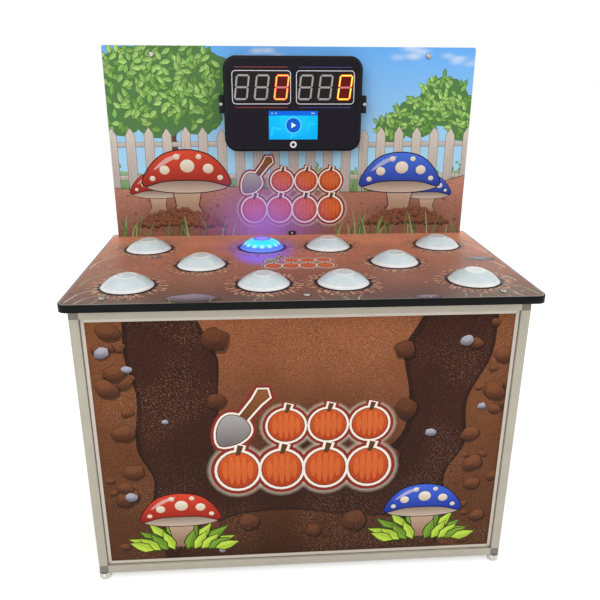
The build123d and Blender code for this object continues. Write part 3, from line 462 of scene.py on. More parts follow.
def painted_panel(name, drawing, thickness, place, edge_colour):
    """A closed sheet whose front carries the drawing as colours, with its grain in the alpha."""
    points = []
    outlines = []
    reaches = []
    for outline, paint, cover, grain in drawing.areas:
        outlines.append(list(range(len(points), len(points) + len(outline))))
        points.extend(Vector(point) for point in outline)
        xs, ys = zip(*outline)
        reaches.append((min(xs), max(xs), min(ys), max(ys)))
    corners, _, triangles, _, _, owners = delaunay_2d_cdt(points, [], outlines, 1, weld_reach)
    shape = bmesh.new()
    verts = [shape.verts.new((corner.x, corner.y, 0.0)) for corner in corners]
    layer = shape.loops.layers.float_color.new("Print")
    for triangle, covering in zip(triangles, owners):
        if 0 not in covering or drawing.cuts.intersection(covering):
            continue
        face = shape.faces.new([verts[k] for k in triangle])
        middle = sum((corners[k] for k in triangle), Vector((0.0, 0.0))) / 3
        for loop in face.loops:
            x, y = loop.vert.co.x, loop.vert.co.y
            colour = (0.0, 0.0, 0.0)
            texture = 0.0
            for number in sorted(covering):
                _, paint, cover, grain = drawing.areas[number]
                left, right, low, high = reaches[number]
                if paint is None or not (left <= middle.x <= right and low <= middle.y <= high):
                    continue
                share = value_at(cover, x, y)
                layered = value_at(paint, x, y)
                colour = tuple(old + (new - old) * share for old, new in zip(colour, layered))
                texture += (grain - texture) * share
            loop[layer] = (*colour, texture)
    bmesh.ops.delete(shape, geom=[v for v in shape.verts if not v.link_faces], context="VERTS")
    rim = [e for e in shape.edges if e.is_boundary]
    walls = bmesh.ops.extrude_edge_only(shape, edges=rim)["geom"]
    lowered = [g for g in walls if isinstance(g, bmesh.types.BMVert)]
    bmesh.ops.translate(shape, verts=lowered, vec=(0, 0, -thickness))
    back_rim = [e for e in shape.edges if e.is_boundary]
    back = bmesh.ops.triangle_fill(shape, edges=back_rim, use_beauty=False, normal=(0, 0, -1))["geom"]
    side_faces = [g for g in walls + back if isinstance(g, bmesh.types.BMFace)]
    for face in side_faces:
        for loop in face.loops:
            loop[layer] = (*edge_colour[:3], 0.0)
    bmesh.ops.recalc_face_normals(shape, faces=shape.faces)
    shape.transform(place)
    mesh = bpy.data.meshes.new(name)
    shape.to_mesh(mesh)
    shape.free()
    return mesh


def rounded_sheet(width, height, radius):
    """A rectangle's outline about the middle, its corners as arcs."""
    steps = 6
    outline = []
    for quarter, (sx, sy) in enumerate(((1, 1), (-1, 1), (-1, -1), (1, -1))):
        for k in range(steps + 1 if radius else 1):
            a = radians(90) * (quarter + k / steps)
            outline.append((
                sx * (width / 2 - radius) + radius * cos(a),
                sy * (height / 2 - radius) + radius * sin(a),
            ))
    return outline


def oval(x, y, half_width, half_height, steps=20, turn=0.0):
    """An ellipse's outline, turned about its middle."""
    outline = []
    for k in range(steps):
        across = half_width * cos(tau * k / steps)
        up = half_height * sin(tau * k / steps)
        outline.append((x + across * cos(turn) - up * sin(turn), y + across * sin(turn) + up * cos(turn)))
    return outline


def pebble_outline(chance, x, y, half_width, half_height, turn=0.0, steps=12, bumpiness=0.14):
    """An uneven oval whose bumps come from the given random source."""
    bumps = [1 + bumpiness * (chance.random() * 2 - 1) for _ in range(steps)]
    plain = oval(0, 0, half_width, half_height, steps, turn)
    return [(x + px * bump, y + py * bump) for (px, py), bump in zip(plain, bumps)]


def grown(outline, margin):
    """The outline moved outwards by a margin, along each corner's mean normal."""
    size = sum(a[0] * b[1] - b[0] * a[1] for a, b in zip(outline, outline[1:] + outline[:1]))
    side = 1 if size > 0 else -1
    moved = []
    count = len(outline)
    for k in range(count):
        before, here, after = Vector(outline[k - 1]), Vector(outline[k]), Vector(outline[(k + 1) % count])
        along = (after - before).normalized()
        moved.append((here.x + side * along.y * margin, here.y - side * along.x * margin))
    return moved


def rounded_loop(points, steps=5):
    """A closed smooth curve through the points."""
    count = len(points)
    curve = []
    for k in range(count):
        p0, p1, p2, p3 = (Vector(points[(k + d) % count]) for d in (-1, 0, 1, 2))
        for s in range(steps):
            t = s / steps
            point = 0.5 * (2 * p1 + (p2 - p0) * t + (2 * p0 - 5 * p1 + 4 * p2 - p3) * t * t
                           + (3 * p1 - p0 - 3 * p2 + p3) * t ** 3)
            curve.append((point.x, point.y))
    return curve


def placed(points, x, y, scale, turn=0.0):
    """Shares of a motif's size, moved to its place on the sheet."""
    return [
        (x + scale * (px * cos(turn) - py * sin(turn)), y + scale * (px * sin(turn) + py * cos(turn)))
        for px, py in points
    ]


def stepped_fade(stops):
    """Paint that passes through colours at given heights, listed from the top down."""
    def paint(x, y):
        for (above, high_colour), (below, low_colour) in zip(stops, stops[1:]):
            if y >= below:
                break
        return upright_fade(high_colour, low_colour, above, below)(x, y)
    return paint


def add_glow(drawing, x, y, half_width, half_height, colour, strength, rings=6, steps=28):
    """A soft round patch of light or shade, strongest in its middle."""
    def cover(px, py):
        reach = (((px - x) / half_width) ** 2 + ((py - y) / half_height) ** 2) ** 0.5
        return min(1.0, strength * max(0.0, 1.0 - reach) ** 1.5)
    drawing.add(oval(x, y, half_width, half_height, steps), colour, cover)
    for ring in range(1, rings):
        share = ring / rings
        drawing.add(oval(x, y, half_width * share, half_height * share, steps), None)


def add_shaded(drawing, outline, light, dark, grain=0.0, line=None, line_width=0.0015):
    """An area that is light at its top and dark at its foot, with a line round it."""
    ys = [point[1] for point in outline]
    if line:
        drawing.add(grown(outline, line_width), line)
    drawing.add(outline, upright_fade(light, dark, max(ys), min(ys)), 1.0, grain)


def add_clod(drawing, chance, x, y, size, light, dark, turn=0.0, squash=0.75, grain=0.6):
    """A lump of earth or a pebble: its shadow, its body and a lighter crown."""
    body = pebble_outline(chance, x, y, size, size * squash, turn)
    shadow = [(px + size * 0.12, py - size * 0.2) for px, py in grown(body, size * 0.08)]
    drawing.add(shadow, tint(24, 14, 10), 0.6)
    drawing.add(grown(body, size * 0.05), tint(30, 18, 12), 0.7)
    add_shaded(drawing, body, light, dark, grain)
    crown = [(x + (px - x) * 0.6 - size * 0.1, y + (py - y) * 0.5 + size * squash * 0.3) for px, py in body]
    drawing.add(crown, light, 0.45, grain)


def add_leaf(drawing, x, y, length, width, turn, colour, line=None):
    """One pointed leaf with a paler half."""
    outline_shares = [(0, 0), (0.3, 0.5), (0.62, 0.42), (1, 0), (0.62, -0.42), (0.3, -0.5)]
    outline = placed([(px * length, py * width) for px, py in outline_shares], x, y, 1.0, turn)
    if line:
        drawing.add(grown(outline, length * 0.05), line)
    drawing.add(outline, colour)
    half_shares = [(0.02, 0), (0.3, 0.42), (0.62, 0.34), (0.96, 0)]
    half = placed([(px * length, py * width) for px, py in half_shares], x, y, 1.0, turn)
    paler = tuple(min(1.0, c * 1.45 + 0.015) for c in colour[:3]) + (1.0,)
    drawing.add(half, paler, 0.6)


def add_blade(drawing, x, y, height, lean, width, colour):
    """A curved blade of grass that leans to one side."""
    left = [(x - width / 2 + lean * t * t, y + height * t) for t in (0, 0.35, 0.7)]
    right = [(x + width / 2 * (1 - t) + lean * t * t, y + height * t) for t in (0.7, 0.35, 0)]
    drawing.add(left + [(x + lean, y + height)] + right, colour)


def add_gourd(drawing, x, y, half_width, half_height, pass_number):
    """A ribbed orange gourd: the halo, the dark band, the cream band, or the fruit itself."""
    ribs = 5
    body = oval(x, y, half_width, half_height, 24)
    stalk = placed([(-0.1, 0.85), (0.12, 0.85), (0.3, 1.35), (0.02, 1.42)], x, y, half_height)
    if pass_number == 0:
        for margin, cover in ((0.26, 0.12), (0.2, 0.2), (0.14, 0.3)):
            drawing.add(grown(body, half_height * (margin + 0.3)), tint(214, 196, 176), cover)
    if pass_number == 1:
        drawing.add(grown(body, half_height * 0.34), tint(140, 50, 42))
        drawing.add(grown(stalk, half_height * 0.3), tint(140, 50, 42))
    if pass_number == 2:
        drawing.add(grown(body, half_height * 0.17), tint(250, 240, 226))
        drawing.add(grown(stalk, half_height * 0.14), tint(250, 240, 226))
    if pass_number == 3:
        drawing.add(grown(body, half_height * 0.04), tint(84, 36, 22))
        add_shaded(drawing, body, tint(214, 92, 44), tint(178, 62, 30), 0.3)
        for rib in range(ribs):
            share = (rib + 0.5) / ribs * 2 - 1
            rib_x = x + half_width * 0.78 * share
            rib_height = half_height * (1 - share * share) ** 0.5 * 0.86
            drawing.add(oval(rib_x, y, half_width * 0.75 / ribs, rib_height, 12), tint(232, 124, 62), 0.5,
                        0.3)
        drawing.add(stalk, tint(96, 62, 36))


def add_emblem(drawing, x, y, width):
    """Two rows of gourds with a hand trowel at the upper left, ringed in cream and dark red."""
    step = width / 4.1
    upper = [(x + step * (k - 0.42) * 0.96, y + step * 0.54, step * 0.41, step * 0.4) for k in range(3)]
    lower = [(x + step * (k - 1.5) * 1.02, y - step * 0.6, step * 0.46, step * 0.48) for k in range(4)]
    blade_shares = [(-0.42, 0.1), (-0.5, -0.2), (-0.36, -0.62), (0, -0.95), (0.36, -0.62), (0.5, -0.2),
                    (0.42, 0.1), (0.12, 0.26), (-0.12, 0.26)]
    handle_shares = [(-0.11, 0.2), (0.11, 0.2), (0.13, 1.0), (0.2, 1.35), (0, 1.5), (-0.2, 1.35),
                     (-0.13, 1.0)]
    tool_x, tool_y, tool_turn = x - step * 1.5, y + step * 0.62, radians(-38)
    blade = rounded_loop(placed(blade_shares, tool_x, tool_y, step * 0.72, tool_turn), 3)
    handle = placed(handle_shares, tool_x, tool_y, step * 0.72, tool_turn)
    for pass_number in range(4):
        if pass_number:
            margin = (0.14, 0.07, 0.02)[pass_number - 1] * step
            colour = (tint(140, 50, 42), tint(250, 240, 226), tint(84, 36, 22))[pass_number - 1]
            drawing.add(grown(handle, margin), colour)
            drawing.add(grown(blade, margin), colour)
        for gourd_x, gourd_y, gourd_width, gourd_height in upper + lower:
            add_gourd(drawing, gourd_x, gourd_y, gourd_width, gourd_height, pass_number)
    add_shaded(drawing, handle, tint(150, 92, 50), tint(104, 60, 32), 0.4)
    add_shaded(drawing, blade, tint(176, 172, 170), tint(112, 106, 104), 0.2)


def add_toadstool(drawing, x, y, size, cap_light, cap_dark, line):
    """A spotted toadstool with a pale stalk and gills."""
    stalk = rounded_loop(placed([(-0.2, 0.5), (-0.17, 0.2), (-0.26, 0), (0.26, 0), (0.17, 0.2), (0.2, 0.5)],
                                x, y, size), 3)
    add_shaded(drawing, stalk, tint(206, 178, 150), tint(150, 112, 90), 0.3, line, size * 0.015)
    skirt = rounded_loop(placed([(-0.62, 0.52), (-0.3, 0.42), (0.3, 0.42), (0.62, 0.52), (0, 0.66)], x, y,
                                size), 4)
    add_shaded(drawing, skirt, tint(120, 96, 88), tint(206, 186, 166), 0.1, line, size * 0.015)
    cap_shares = [(-0.66, 0.52), (-0.6, 0.74), (-0.36, 0.98), (0, 1.06), (0.36, 0.98), (0.6, 0.74),
                  (0.66, 0.52), (0.3, 0.6), (-0.3, 0.6)]
    cap = rounded_loop(placed(cap_shares, x, y, size), 4)
    add_shaded(drawing, cap, cap_light, cap_dark, 0.1, line, size * 0.018)
    sheen = rounded_loop(placed([(-0.5, 0.76), (-0.3, 0.94), (-0.06, 1.0), (-0.3, 0.86)], x, y, size), 3)
    drawing.add(sheen, tint(255, 246, 238), 0.4)
    for spot_x, spot_y, spot_size in ((0.02, 0.82, 0.1), (-0.33, 0.76, 0.07), (0.34, 0.78, 0.075),
                                      (0.2, 0.96, 0.04), (-0.14, 0.96, 0.045), (0.52, 0.64, 0.04),
                                      (-0.52, 0.63, 0.04)):
        add_shaded(drawing,
                   oval(x + spot_x * size, y + spot_y * size, spot_size * size * 1.1, spot_size * size, 14),
                   tint(248, 240, 222), tint(214, 190, 160))


painted_grain = bpy.data.node_groups.new("Painted Earth", "ShaderNodeTree")
socket(painted_grain, "INPUT", "NodeSocketColor", "Colour", (0.5, 0.5, 0.5, 1.0))
socket(painted_grain, "INPUT", "NodeSocketFloat", "Amount", 0.0)
socket(painted_grain, "INPUT", "NodeSocketFloat", "Lumps per Metre", 90.0)
socket(painted_grain, "INPUT", "NodeSocketFloat", "Relief", 0.9)
socket(painted_grain, "INPUT", "NodeSocketFloat", "Specks", 0.6)
socket(painted_grain, "OUTPUT", "NodeSocketColor", "Colour")
earth_in = painted_grain.nodes.new("NodeGroupInput")
earth_out = painted_grain.nodes.new("NodeGroupOutput")
earth_place = painted_grain.nodes.new("ShaderNodeTexCoord")
earth_shift = add_node(painted_grain, "ShaderNodeVectorMath", {"operation": "ADD"})
earth_shift.inputs[1].default_value = (0.0012, -0.001, -0.0018)
lumps = add_node(painted_grain, "ShaderNodeTexNoise", Detail=5.0, Roughness=0.62)
lumps_moved = add_node(painted_grain, "ShaderNodeTexNoise", Detail=5.0, Roughness=0.62)
lump_slope = add_node(painted_grain, "ShaderNodeMath", {"operation": "SUBTRACT"})
slope_amount = add_node(painted_grain, "ShaderNodeMath", {"operation": "MULTIPLY"})
slope_relief = add_node(painted_grain, "ShaderNodeMath", {"operation": "MULTIPLY_ADD"})
slope_relief.inputs[2].default_value = 1.0
broad = add_node(painted_grain, "ShaderNodeTexNoise", Scale=7.0, Detail=3.0)
broad_range = add_node(painted_grain, "ShaderNodeMapRange", From_Min=0.3, From_Max=0.7, To_Min=0.86,
                       To_Max=1.12)
broad_mix = add_node(painted_grain, "ShaderNodeMix", {"data_type": "FLOAT"})
broad_mix.inputs["A"].default_value = 1.0
shade_sum = add_node(painted_grain, "ShaderNodeMath", {"operation": "MULTIPLY"})
earth_scaled = add_node(painted_grain, "ShaderNodeVectorMath", {"operation": "SCALE"})
join_all(painted_grain, (
    (earth_place.outputs["Object"], earth_shift.inputs[0]),
    (earth_place.outputs["Object"], lumps.inputs["Vector"]),
    (earth_shift.outputs[0], lumps_moved.inputs["Vector"]),
    (earth_in.outputs["Lumps per Metre"], lumps.inputs["Scale"]),
    (earth_in.outputs["Lumps per Metre"], lumps_moved.inputs["Scale"]),
    (lumps.outputs["Fac"], lump_slope.inputs[0]),
    (lumps_moved.outputs["Fac"], lump_slope.inputs[1]),
    (lump_slope.outputs[0], slope_amount.inputs[0]),
    (earth_in.outputs["Amount"], slope_amount.inputs[1]),
    (slope_amount.outputs[0], slope_relief.inputs[0]),
    (earth_in.outputs["Relief"], slope_relief.inputs[1]),
    (earth_place.outputs["Object"], broad.inputs["Vector"]),
    (broad.outputs["Fac"], broad_range.inputs["Value"]),
    (earth_in.outputs["Amount"], broad_mix.inputs["Factor"]),
    (broad_range.outputs["Result"], broad_mix.inputs["B"]),
    (slope_relief.outputs[0], shade_sum.inputs[0]),
    (broad_mix.outputs["Result"], shade_sum.inputs[1]),
    (earth_in.outputs["Colour"], earth_scaled.inputs[0]),
))
speck_stretch = add_node(painted_grain, "ShaderNodeVectorMath", {"operation": "MULTIPLY"})
speck_stretch.inputs[1].default_value = (0.45, 0.45, 1.0)
speck_noise = add_node(painted_grain, "ShaderNodeTexNoise", Scale=430.0, Detail=2.0)
speck_range = add_node(painted_grain, "ShaderNodeMapRange", {"interpolation_type": "SMOOTHSTEP"},
                       From_Min=0.56, From_Max=0.66)
speck_field = add_node(painted_grain, "ShaderNodeTexNoise", Scale=4.5, Detail=1.0)
speck_places = add_node(painted_grain, "ShaderNodeMapRange", {"interpolation_type": "SMOOTHSTEP"},
                        From_Min=0.42, From_Max=0.62, To_Min=0.2)
speck_patches = add_node(painted_grain, "ShaderNodeMath", {"operation": "MULTIPLY"})
speck_share = add_node(painted_grain, "ShaderNodeMath", {"operation": "MULTIPLY"})
speck_amount = add_node(painted_grain, "ShaderNodeMath", {"operation": "MULTIPLY"})
speck_light = add_node(painted_grain, "ShaderNodeVectorMath", {"operation": "SCALE"})
speck_light.inputs[0].default_value = (0.2, 0.11, 0.07)
speck_added = add_node(painted_grain, "ShaderNodeVectorMath", {"operation": "ADD"})
join_all(painted_grain, (
    (earth_place.outputs["Object"], speck_stretch.inputs[0]),
    (speck_stretch.outputs[0], speck_noise.inputs["Vector"]),
    (speck_noise.outputs["Fac"], speck_range.inputs["Value"]),
    (earth_place.outputs["Object"], speck_field.inputs["Vector"]),
    (speck_field.outputs["Fac"], speck_places.inputs["Value"]),
    (speck_range.outputs["Result"], speck_patches.inputs[0]),
    (speck_places.outputs["Result"], speck_patches.inputs[1]),
    (speck_patches.outputs[0], speck_share.inputs[0]),
    (earth_in.outputs["Amount"], speck_share.inputs[1]),
    (speck_share.outputs[0], speck_amount.inputs[0]),
    (earth_in.outputs["Specks"], speck_amount.inputs[1]),
    (speck_amount.outputs[0], speck_light.inputs["Scale"]),
    (shade_sum.outputs[0], earth_scaled.inputs["Scale"]),
    (earth_scaled.outputs[0], speck_added.inputs[0]),
    (speck_light.outputs[0], speck_added.inputs[1]),
    (speck_added.outputs[0], earth_out.inputs["Colour"]),
))


def printed_finish(name, roughness, coat, specular, relief, lumps_per_metre, specks):
    """A satin print that takes its colours from the drawing and its earth from noise."""
    material = bpy.data.materials.new(name)
    material.use_nodes = True
    tree = material.node_tree
    shader = tree.nodes["Principled BSDF"]
    shader.inputs["Coat Weight"].default_value = coat
    shader.inputs["Coat Roughness"].default_value = 0.22
    shader.inputs["Specular IOR Level"].default_value = specular
    drawn = add_node(tree, "ShaderNodeAttribute", {"attribute_name": "Print"})
    earth = tree.nodes.new("ShaderNodeGroup")
    earth.node_tree = painted_grain
    earth.inputs["Relief"].default_value = relief
    earth.inputs["Lumps per Metre"].default_value = lumps_per_metre
    earth.inputs["Specks"].default_value = specks
    grain = tree.nodes.new("ShaderNodeGroup")
    grain.node_tree = fine_grain
    grain.inputs["Mottle"].default_value = 0.02
    grain.inputs["Grains per Metre"].default_value = 500.0
    grain.inputs["Roughness"].default_value = roughness
    grain.inputs["Depth"].default_value = 0.00004
    join_all(tree, (
        (drawn.outputs["Color"], earth.inputs["Colour"]),
        (drawn.outputs["Alpha"], earth.inputs["Amount"]),
        (earth.outputs["Colour"], grain.inputs["Colour"]),
        (grain.outputs["Colour"], shader.inputs["Base Color"]),
        (grain.outputs["Roughness"], shader.inputs["Roughness"]),
        (grain.outputs["Normal"], shader.inputs["Normal"]),
    ))
    return material


panel_print = printed_finish("satin_panel_print", 0.5, 0.0, 0.1, 2.2, 240.0, 1.0)
clod_light, clod_dark = tint(128, 78, 50), tint(78, 46, 31)
stone_light, stone_dark = tint(190, 186, 198), tint(92, 90, 104)

front_low, front_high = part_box("front_panel")
panel_width = front_high.x - front_low.x
panel_height = front_high.z - front_low.z
front_chance = random.Random(11)
front_drawing = Drawing(rounded_sheet(panel_width, panel_height, 0.0),
                        upright_fade(tint(62, 34, 24), tint(54, 31, 22), panel_height / 2,
                                     -panel_height / 2), 1.0)
tan_shares = [(-0.215, 0.56), (-0.2, 0.34), (-0.205, 0.16), (-0.19, 0.0), (-0.1, -0.1), (0.03, -0.12),
              (0.15, -0.08), (0.24, 0.02), (0.255, 0.18), (0.235, 0.36), (0.25, 0.56)]
tan_field = rounded_loop([(px * panel_width, py * panel_height) for px, py in tan_shares])
front_drawing.add([(px + 0.004, py - 0.012) for px, py in grown(tan_field, 0.01)], tint(30, 19, 14), 0.55)
front_drawing.add(tan_field, upright_fade(tint(152, 93, 61), tint(106, 62, 40), panel_height / 2, -0.1),
                  1.0, 1.0)
left_bank_shares = [(-0.56, 0.56), (-0.425, 0.56), (-0.415, 0.36), (-0.395, 0.2), (-0.405, 0.0),
                    (-0.37, -0.14), (-0.385, -0.3), (-0.36, -0.56), (-0.56, -0.56)]
right_bank_shares = [(0.56, 0.56), (0.465, 0.56), (0.45, 0.34), (0.4, 0.16), (0.405, -0.02), (0.36, -0.16),
                     (0.375, -0.34), (0.36, -0.56), (0.56, -0.56)]
for bank_shares in (left_bank_shares, right_bank_shares):
    bank = rounded_loop([(px * panel_width, py * panel_height) for px, py in bank_shares])
    inward = -1 if bank_shares[0][0] > 0 else 1
    front_drawing.add([(px + inward * 0.012, py - 0.008) for px, py in bank], tint(26, 16, 12), 0.5)
    front_drawing.add(bank, upright_fade(tint(130, 79, 49), tint(84, 51, 32), panel_height / 2,
                                         -panel_height / 2), 1.0, 1.0)
lower_shares = [(-0.3, -0.56), (-0.22, -0.34), (-0.05, -0.29), (0.12, -0.33), (0.26, -0.36), (0.33, -0.56)]
lower_bed = rounded_loop([(px * panel_width, py * panel_height) for px, py in lower_shares])
front_drawing.add(grown(lower_bed, 0.01), tint(28, 18, 13), 0.4)
front_drawing.add(lower_bed, upright_fade(tint(80, 47, 28), tint(58, 34, 22), -0.22, -0.4), 1.0, 1.0)
for _ in range(40):
    clod_side = front_chance.choice((-1, 1))
    clod_x = clod_side * panel_width * front_chance.uniform(0.4, 0.49)
    clod_y = panel_height * front_chance.uniform(-0.47, 0.47)
    add_clod(front_drawing, front_chance, clod_x, clod_y, front_chance.uniform(0.01, 0.034),
             tint(132, 80, 50), tint(64, 37, 24), front_chance.uniform(-0.6, 0.6), grain=0.5)
for clod_x, clod_y, clod_size in ((-0.235, 0.32, 0.036), (-0.24, 0.14, 0.026), (-0.225, -0.02, 0.03),
                                  (0.27, 0.28, 0.028), (0.285, 0.1, 0.034), (0.25, -0.05, 0.026),
                                  (-0.16, -0.26, 0.03), (0.15, -0.27, 0.034), (0.03, -0.3, 0.022),
                                  (-0.27, -0.27, 0.024), (0.28, -0.25, 0.026)):
    add_clod(front_drawing, front_chance, clod_x, clod_y, clod_size, tint(112, 66, 42), tint(56, 33, 22),
             front_chance.uniform(-0.5, 0.5), 0.95, 0.5)
for stone_x, stone_y, stone_size in ((-0.53, 0.29, 0.026), (-0.47, 0.24, 0.017), (-0.49, -0.16, 0.022),
                                     (0.44, 0.3, 0.024), (0.36, 0.02, 0.021), (0.5, 0.1, 0.016),
                                     (0.4, -0.3, 0.014), (-0.38, 0.08, 0.012), (0.29, -0.34, 0.018),
                                     (-0.24, -0.36, 0.012)):
    add_clod(front_drawing, front_chance, stone_x, stone_y, stone_size * 0.8, stone_light, stone_dark,
             front_chance.uniform(-0.5, 0.5), 0.8, 0.1)
add_glow(front_drawing, 0.0, 0.0, 0.42, 0.26, tint(30, 20, 14), 0.85)
add_emblem(front_drawing, 0.0, -0.01, 0.5)


def add_patch(drawing, x, y, size, cap_light, cap_dark, line, chance):
    """A toadstool in a tuft of lime leaves, for a lower corner."""
    lime, deep_lime = tint(176, 206, 68), tint(112, 150, 44)
    for k in range(9):
        turn = radians(18 + 18 * k)
        add_leaf(drawing, x + size * 0.25 * cos(turn), y - size * 0.05, size * chance.uniform(0.55, 0.75),
                 size * 0.2, turn, deep_lime if k % 2 else lime, tint(60, 70, 30))
    add_toadstool(drawing, x, y, size, cap_light, cap_dark, line)
    for k in range(9):
        side = -1 if k % 2 else 1
        add_leaf(drawing, x + side * size * (0.08 + 0.06 * k), y - size * 0.08, size * 0.42, size * 0.17,
                 radians(90 - side * (18 + 7 * k)), lime if k % 3 else deep_lime, tint(60, 70, 30))


patch_foot = 0.05 - panel_height / 2
add_patch(front_drawing, -0.355, patch_foot, 0.17, tint(226, 74, 50), tint(150, 34, 28), tint(70, 22, 18),
          front_chance)
add_patch(front_drawing, 0.355, patch_foot, 0.17, tint(70, 110, 226), tint(34, 50, 150), tint(20, 24, 70),
          front_chance)
upright = Matrix.Rotation(radians(90), 4, "X")
front_middle = ((front_low.x + front_high.x) / 2, front_low.y, (front_low.z + front_high.z) / 2)
front_place = Matrix.Translation(front_middle) @ upright
panel_edge_colour = tint(60, 44, 36)
panel_thickness = front_high.y - front_low.y
front_mesh = painted_panel("front_panel_print", front_drawing, panel_thickness, front_place,
                           panel_edge_colour)
add_piece("front_panel_printed", front_mesh, "table", ("front_panel",), (panel_print,))

for wall, wall_turn, wall_seed in (("left", -90, 21), ("right", 90, 22)):
    low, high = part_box(f"{wall}_panel")
    wall_width = high.y - low.y
    chance = random.Random(wall_seed)
    drawing = Drawing(rounded_sheet(wall_width, panel_height, 0.0),
                      upright_fade(tint(104, 64, 44), tint(70, 43, 31), panel_height / 2,
                                   -panel_height / 2), 1.0)
    seam_shares = [(-0.56, 0.56), (0.56, 0.56), (0.5, 0.2), (0.2, 0.26), (-0.12, 0.16), (-0.5, 0.24)]
    seam = rounded_loop([(px * wall_width, py * panel_height) for px, py in seam_shares])
    drawing.add(grown(seam, 0.012), tint(28, 18, 13), 0.45)
    drawing.add(seam, upright_fade(tint(158, 98, 68), tint(118, 72, 50), panel_height / 2, 0.1), 1.0, 1.0)
    for _ in range(34):
        add_clod(drawing, chance, wall_width * chance.uniform(-0.47, 0.47),
                 panel_height * chance.uniform(-0.47, 0.44), chance.uniform(0.01, 0.034), clod_light,
                 clod_dark, chance.uniform(-0.6, 0.6))
    for _ in range(8):
        add_clod(drawing, chance, wall_width * chance.uniform(-0.44, 0.44),
                 panel_height * chance.uniform(-0.44, 0.4), chance.uniform(0.01, 0.024), stone_light,
                 stone_dark, chance.uniform(-0.5, 0.5), 0.8, 0.1)
    outside_x = low.x if wall == "left" else high.x
    wall_middle = Matrix.Translation((outside_x, (low.y + high.y) / 2, (low.z + high.z) / 2))
    place = wall_middle @ Matrix.Rotation(radians(wall_turn), 4, "Z") @ upright
    mesh = painted_panel(f"{wall}_panel_print", drawing, high.x - low.x, place, panel_edge_colour)
    add_piece(f"{wall}_panel_printed", mesh, "table", (f"{wall}_panel",), (panel_print,))
plain_sheet = finish("plain_dark_sheet", tint(58, 56, 56), 0.45, 0.0, 0.05, 500.0)
repaint("rear_panel", plain_sheet)


# Worktop: an 18.5 mm board under a printed sheet, with a black band glued round the edge.
# The print is earth with a ring of clods round every button, pebbles and blades of grass.
raw_board = finish("raw_fibreboard", tint(178, 148, 112), 0.8, 0.0, 0.1, 500.0)
repaint("worktop_board", raw_board)
edge_plastic = finish("black_edge_band", tint(17, 18, 18), 0.42, 0.0, 0.12, 300.0, depth=0.00005,
                      specular=0.1)
moulded_edge = 0.0006
dressed_copy("worktop_edge_band", "table", edge_plastic, moulded_edge)

dome_names = [f"{side}_dome_{number}" for side in ("left", "right") for number in range(1, 6)]
dome_middles = {}
for dome in dome_names:
    low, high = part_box(dome)
    dome_middles[dome] = ((low.x + high.x) / 2, (low.y + high.y) / 2)
print_low, print_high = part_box("worktop_print")
deck_width = print_high.x - print_low.x
deck_depth = print_high.y - print_low.y
deck_top = print_high.z
deck_thickness = print_high.z - print_low.z
deck_corner = 0.0225
edge_line = 0.0018
edge_highlight_line = 0.0016
deck_chance = random.Random(5)
deck_drawing = Drawing(rounded_sheet(deck_width, deck_depth, deck_corner), tint(20, 20, 20), 0.0)
# The earth grows lighter towards the rear: partly the print's own tone, partly a painted sheen of the lamps
# on the satin print.
deck_tones_and_sheen = stepped_fade((
    (0.35, tint(226, 150, 117)), (0.086, tint(198, 121, 91)), (-0.043, tint(169, 105, 80)),
    (-0.156, tint(155, 98, 77)), (-0.255, tint(134, 87, 70)), (-0.35, tint(110, 82, 70)),
))
# Inside a thin black border a pale line runs all round the sheet: a painted highlight along the worktop's
# edge.
for line_inset, line_paint, line_grain in ((edge_line, tint(196, 188, 178), 0.0),
                                           (edge_line + edge_highlight_line, deck_tones_and_sheen, 0.8)):
    deck_drawing.add(rounded_sheet(deck_width - 2 * line_inset, deck_depth - 2 * line_inset,
                                   deck_corner - line_inset), line_paint, 1.0, line_grain)
for shade_x, shade_y, shade_wide, shade_deep, shade_strength in (
    (-0.28, -0.3, 0.26, 0.12, 0.4), (0.28, -0.31, 0.28, 0.12, 0.45), (0.0, -0.12, 0.2, 0.1, 0.3),
    (-0.5, 0.02, 0.12, 0.14, 0.3), (0.5, 0.0, 0.12, 0.14, 0.35), (-0.27, 0.14, 0.14, 0.08, 0.25),
    (0.27, 0.14, 0.14, 0.08, 0.25),
):
    add_glow(deck_drawing, shade_x, shade_y, shade_wide, shade_deep, tint(84, 56, 48), shade_strength)
for _ in range(90):
    pebble_size = deck_chance.uniform(0.002, 0.006)
    pebble_x = deck_width * deck_chance.uniform(-0.49, 0.49)
    pebble_y = deck_depth * deck_chance.uniform(-0.48, 0.46)
    pebble_tone = deck_chance.choice((tint(206, 190, 170), tint(120, 116, 96), tint(84, 56, 44)))
    deck_drawing.add(pebble_outline(deck_chance, pebble_x, pebble_y, pebble_size, pebble_size * 0.7, 0.0, 7),
                     pebble_tone, 0.75)
for rock_x, rock_y, rock_size in ((-0.282, -0.312, 0.062), (0.3, -0.335, 0.03), (-0.42, 0.06, 0.016),
                                  (0.14, 0.09, 0.012), (0.545, -0.005, 0.036), (-0.03, -0.2, 0.012)):
    add_clod(deck_drawing, deck_chance, rock_x, rock_y, rock_size, tint(158, 142, 156), tint(74, 60, 70),
             0.0, 0.5, 0.1)
lit_name = "left_dome_5"
lit_x, lit_y = dome_middles[lit_name]
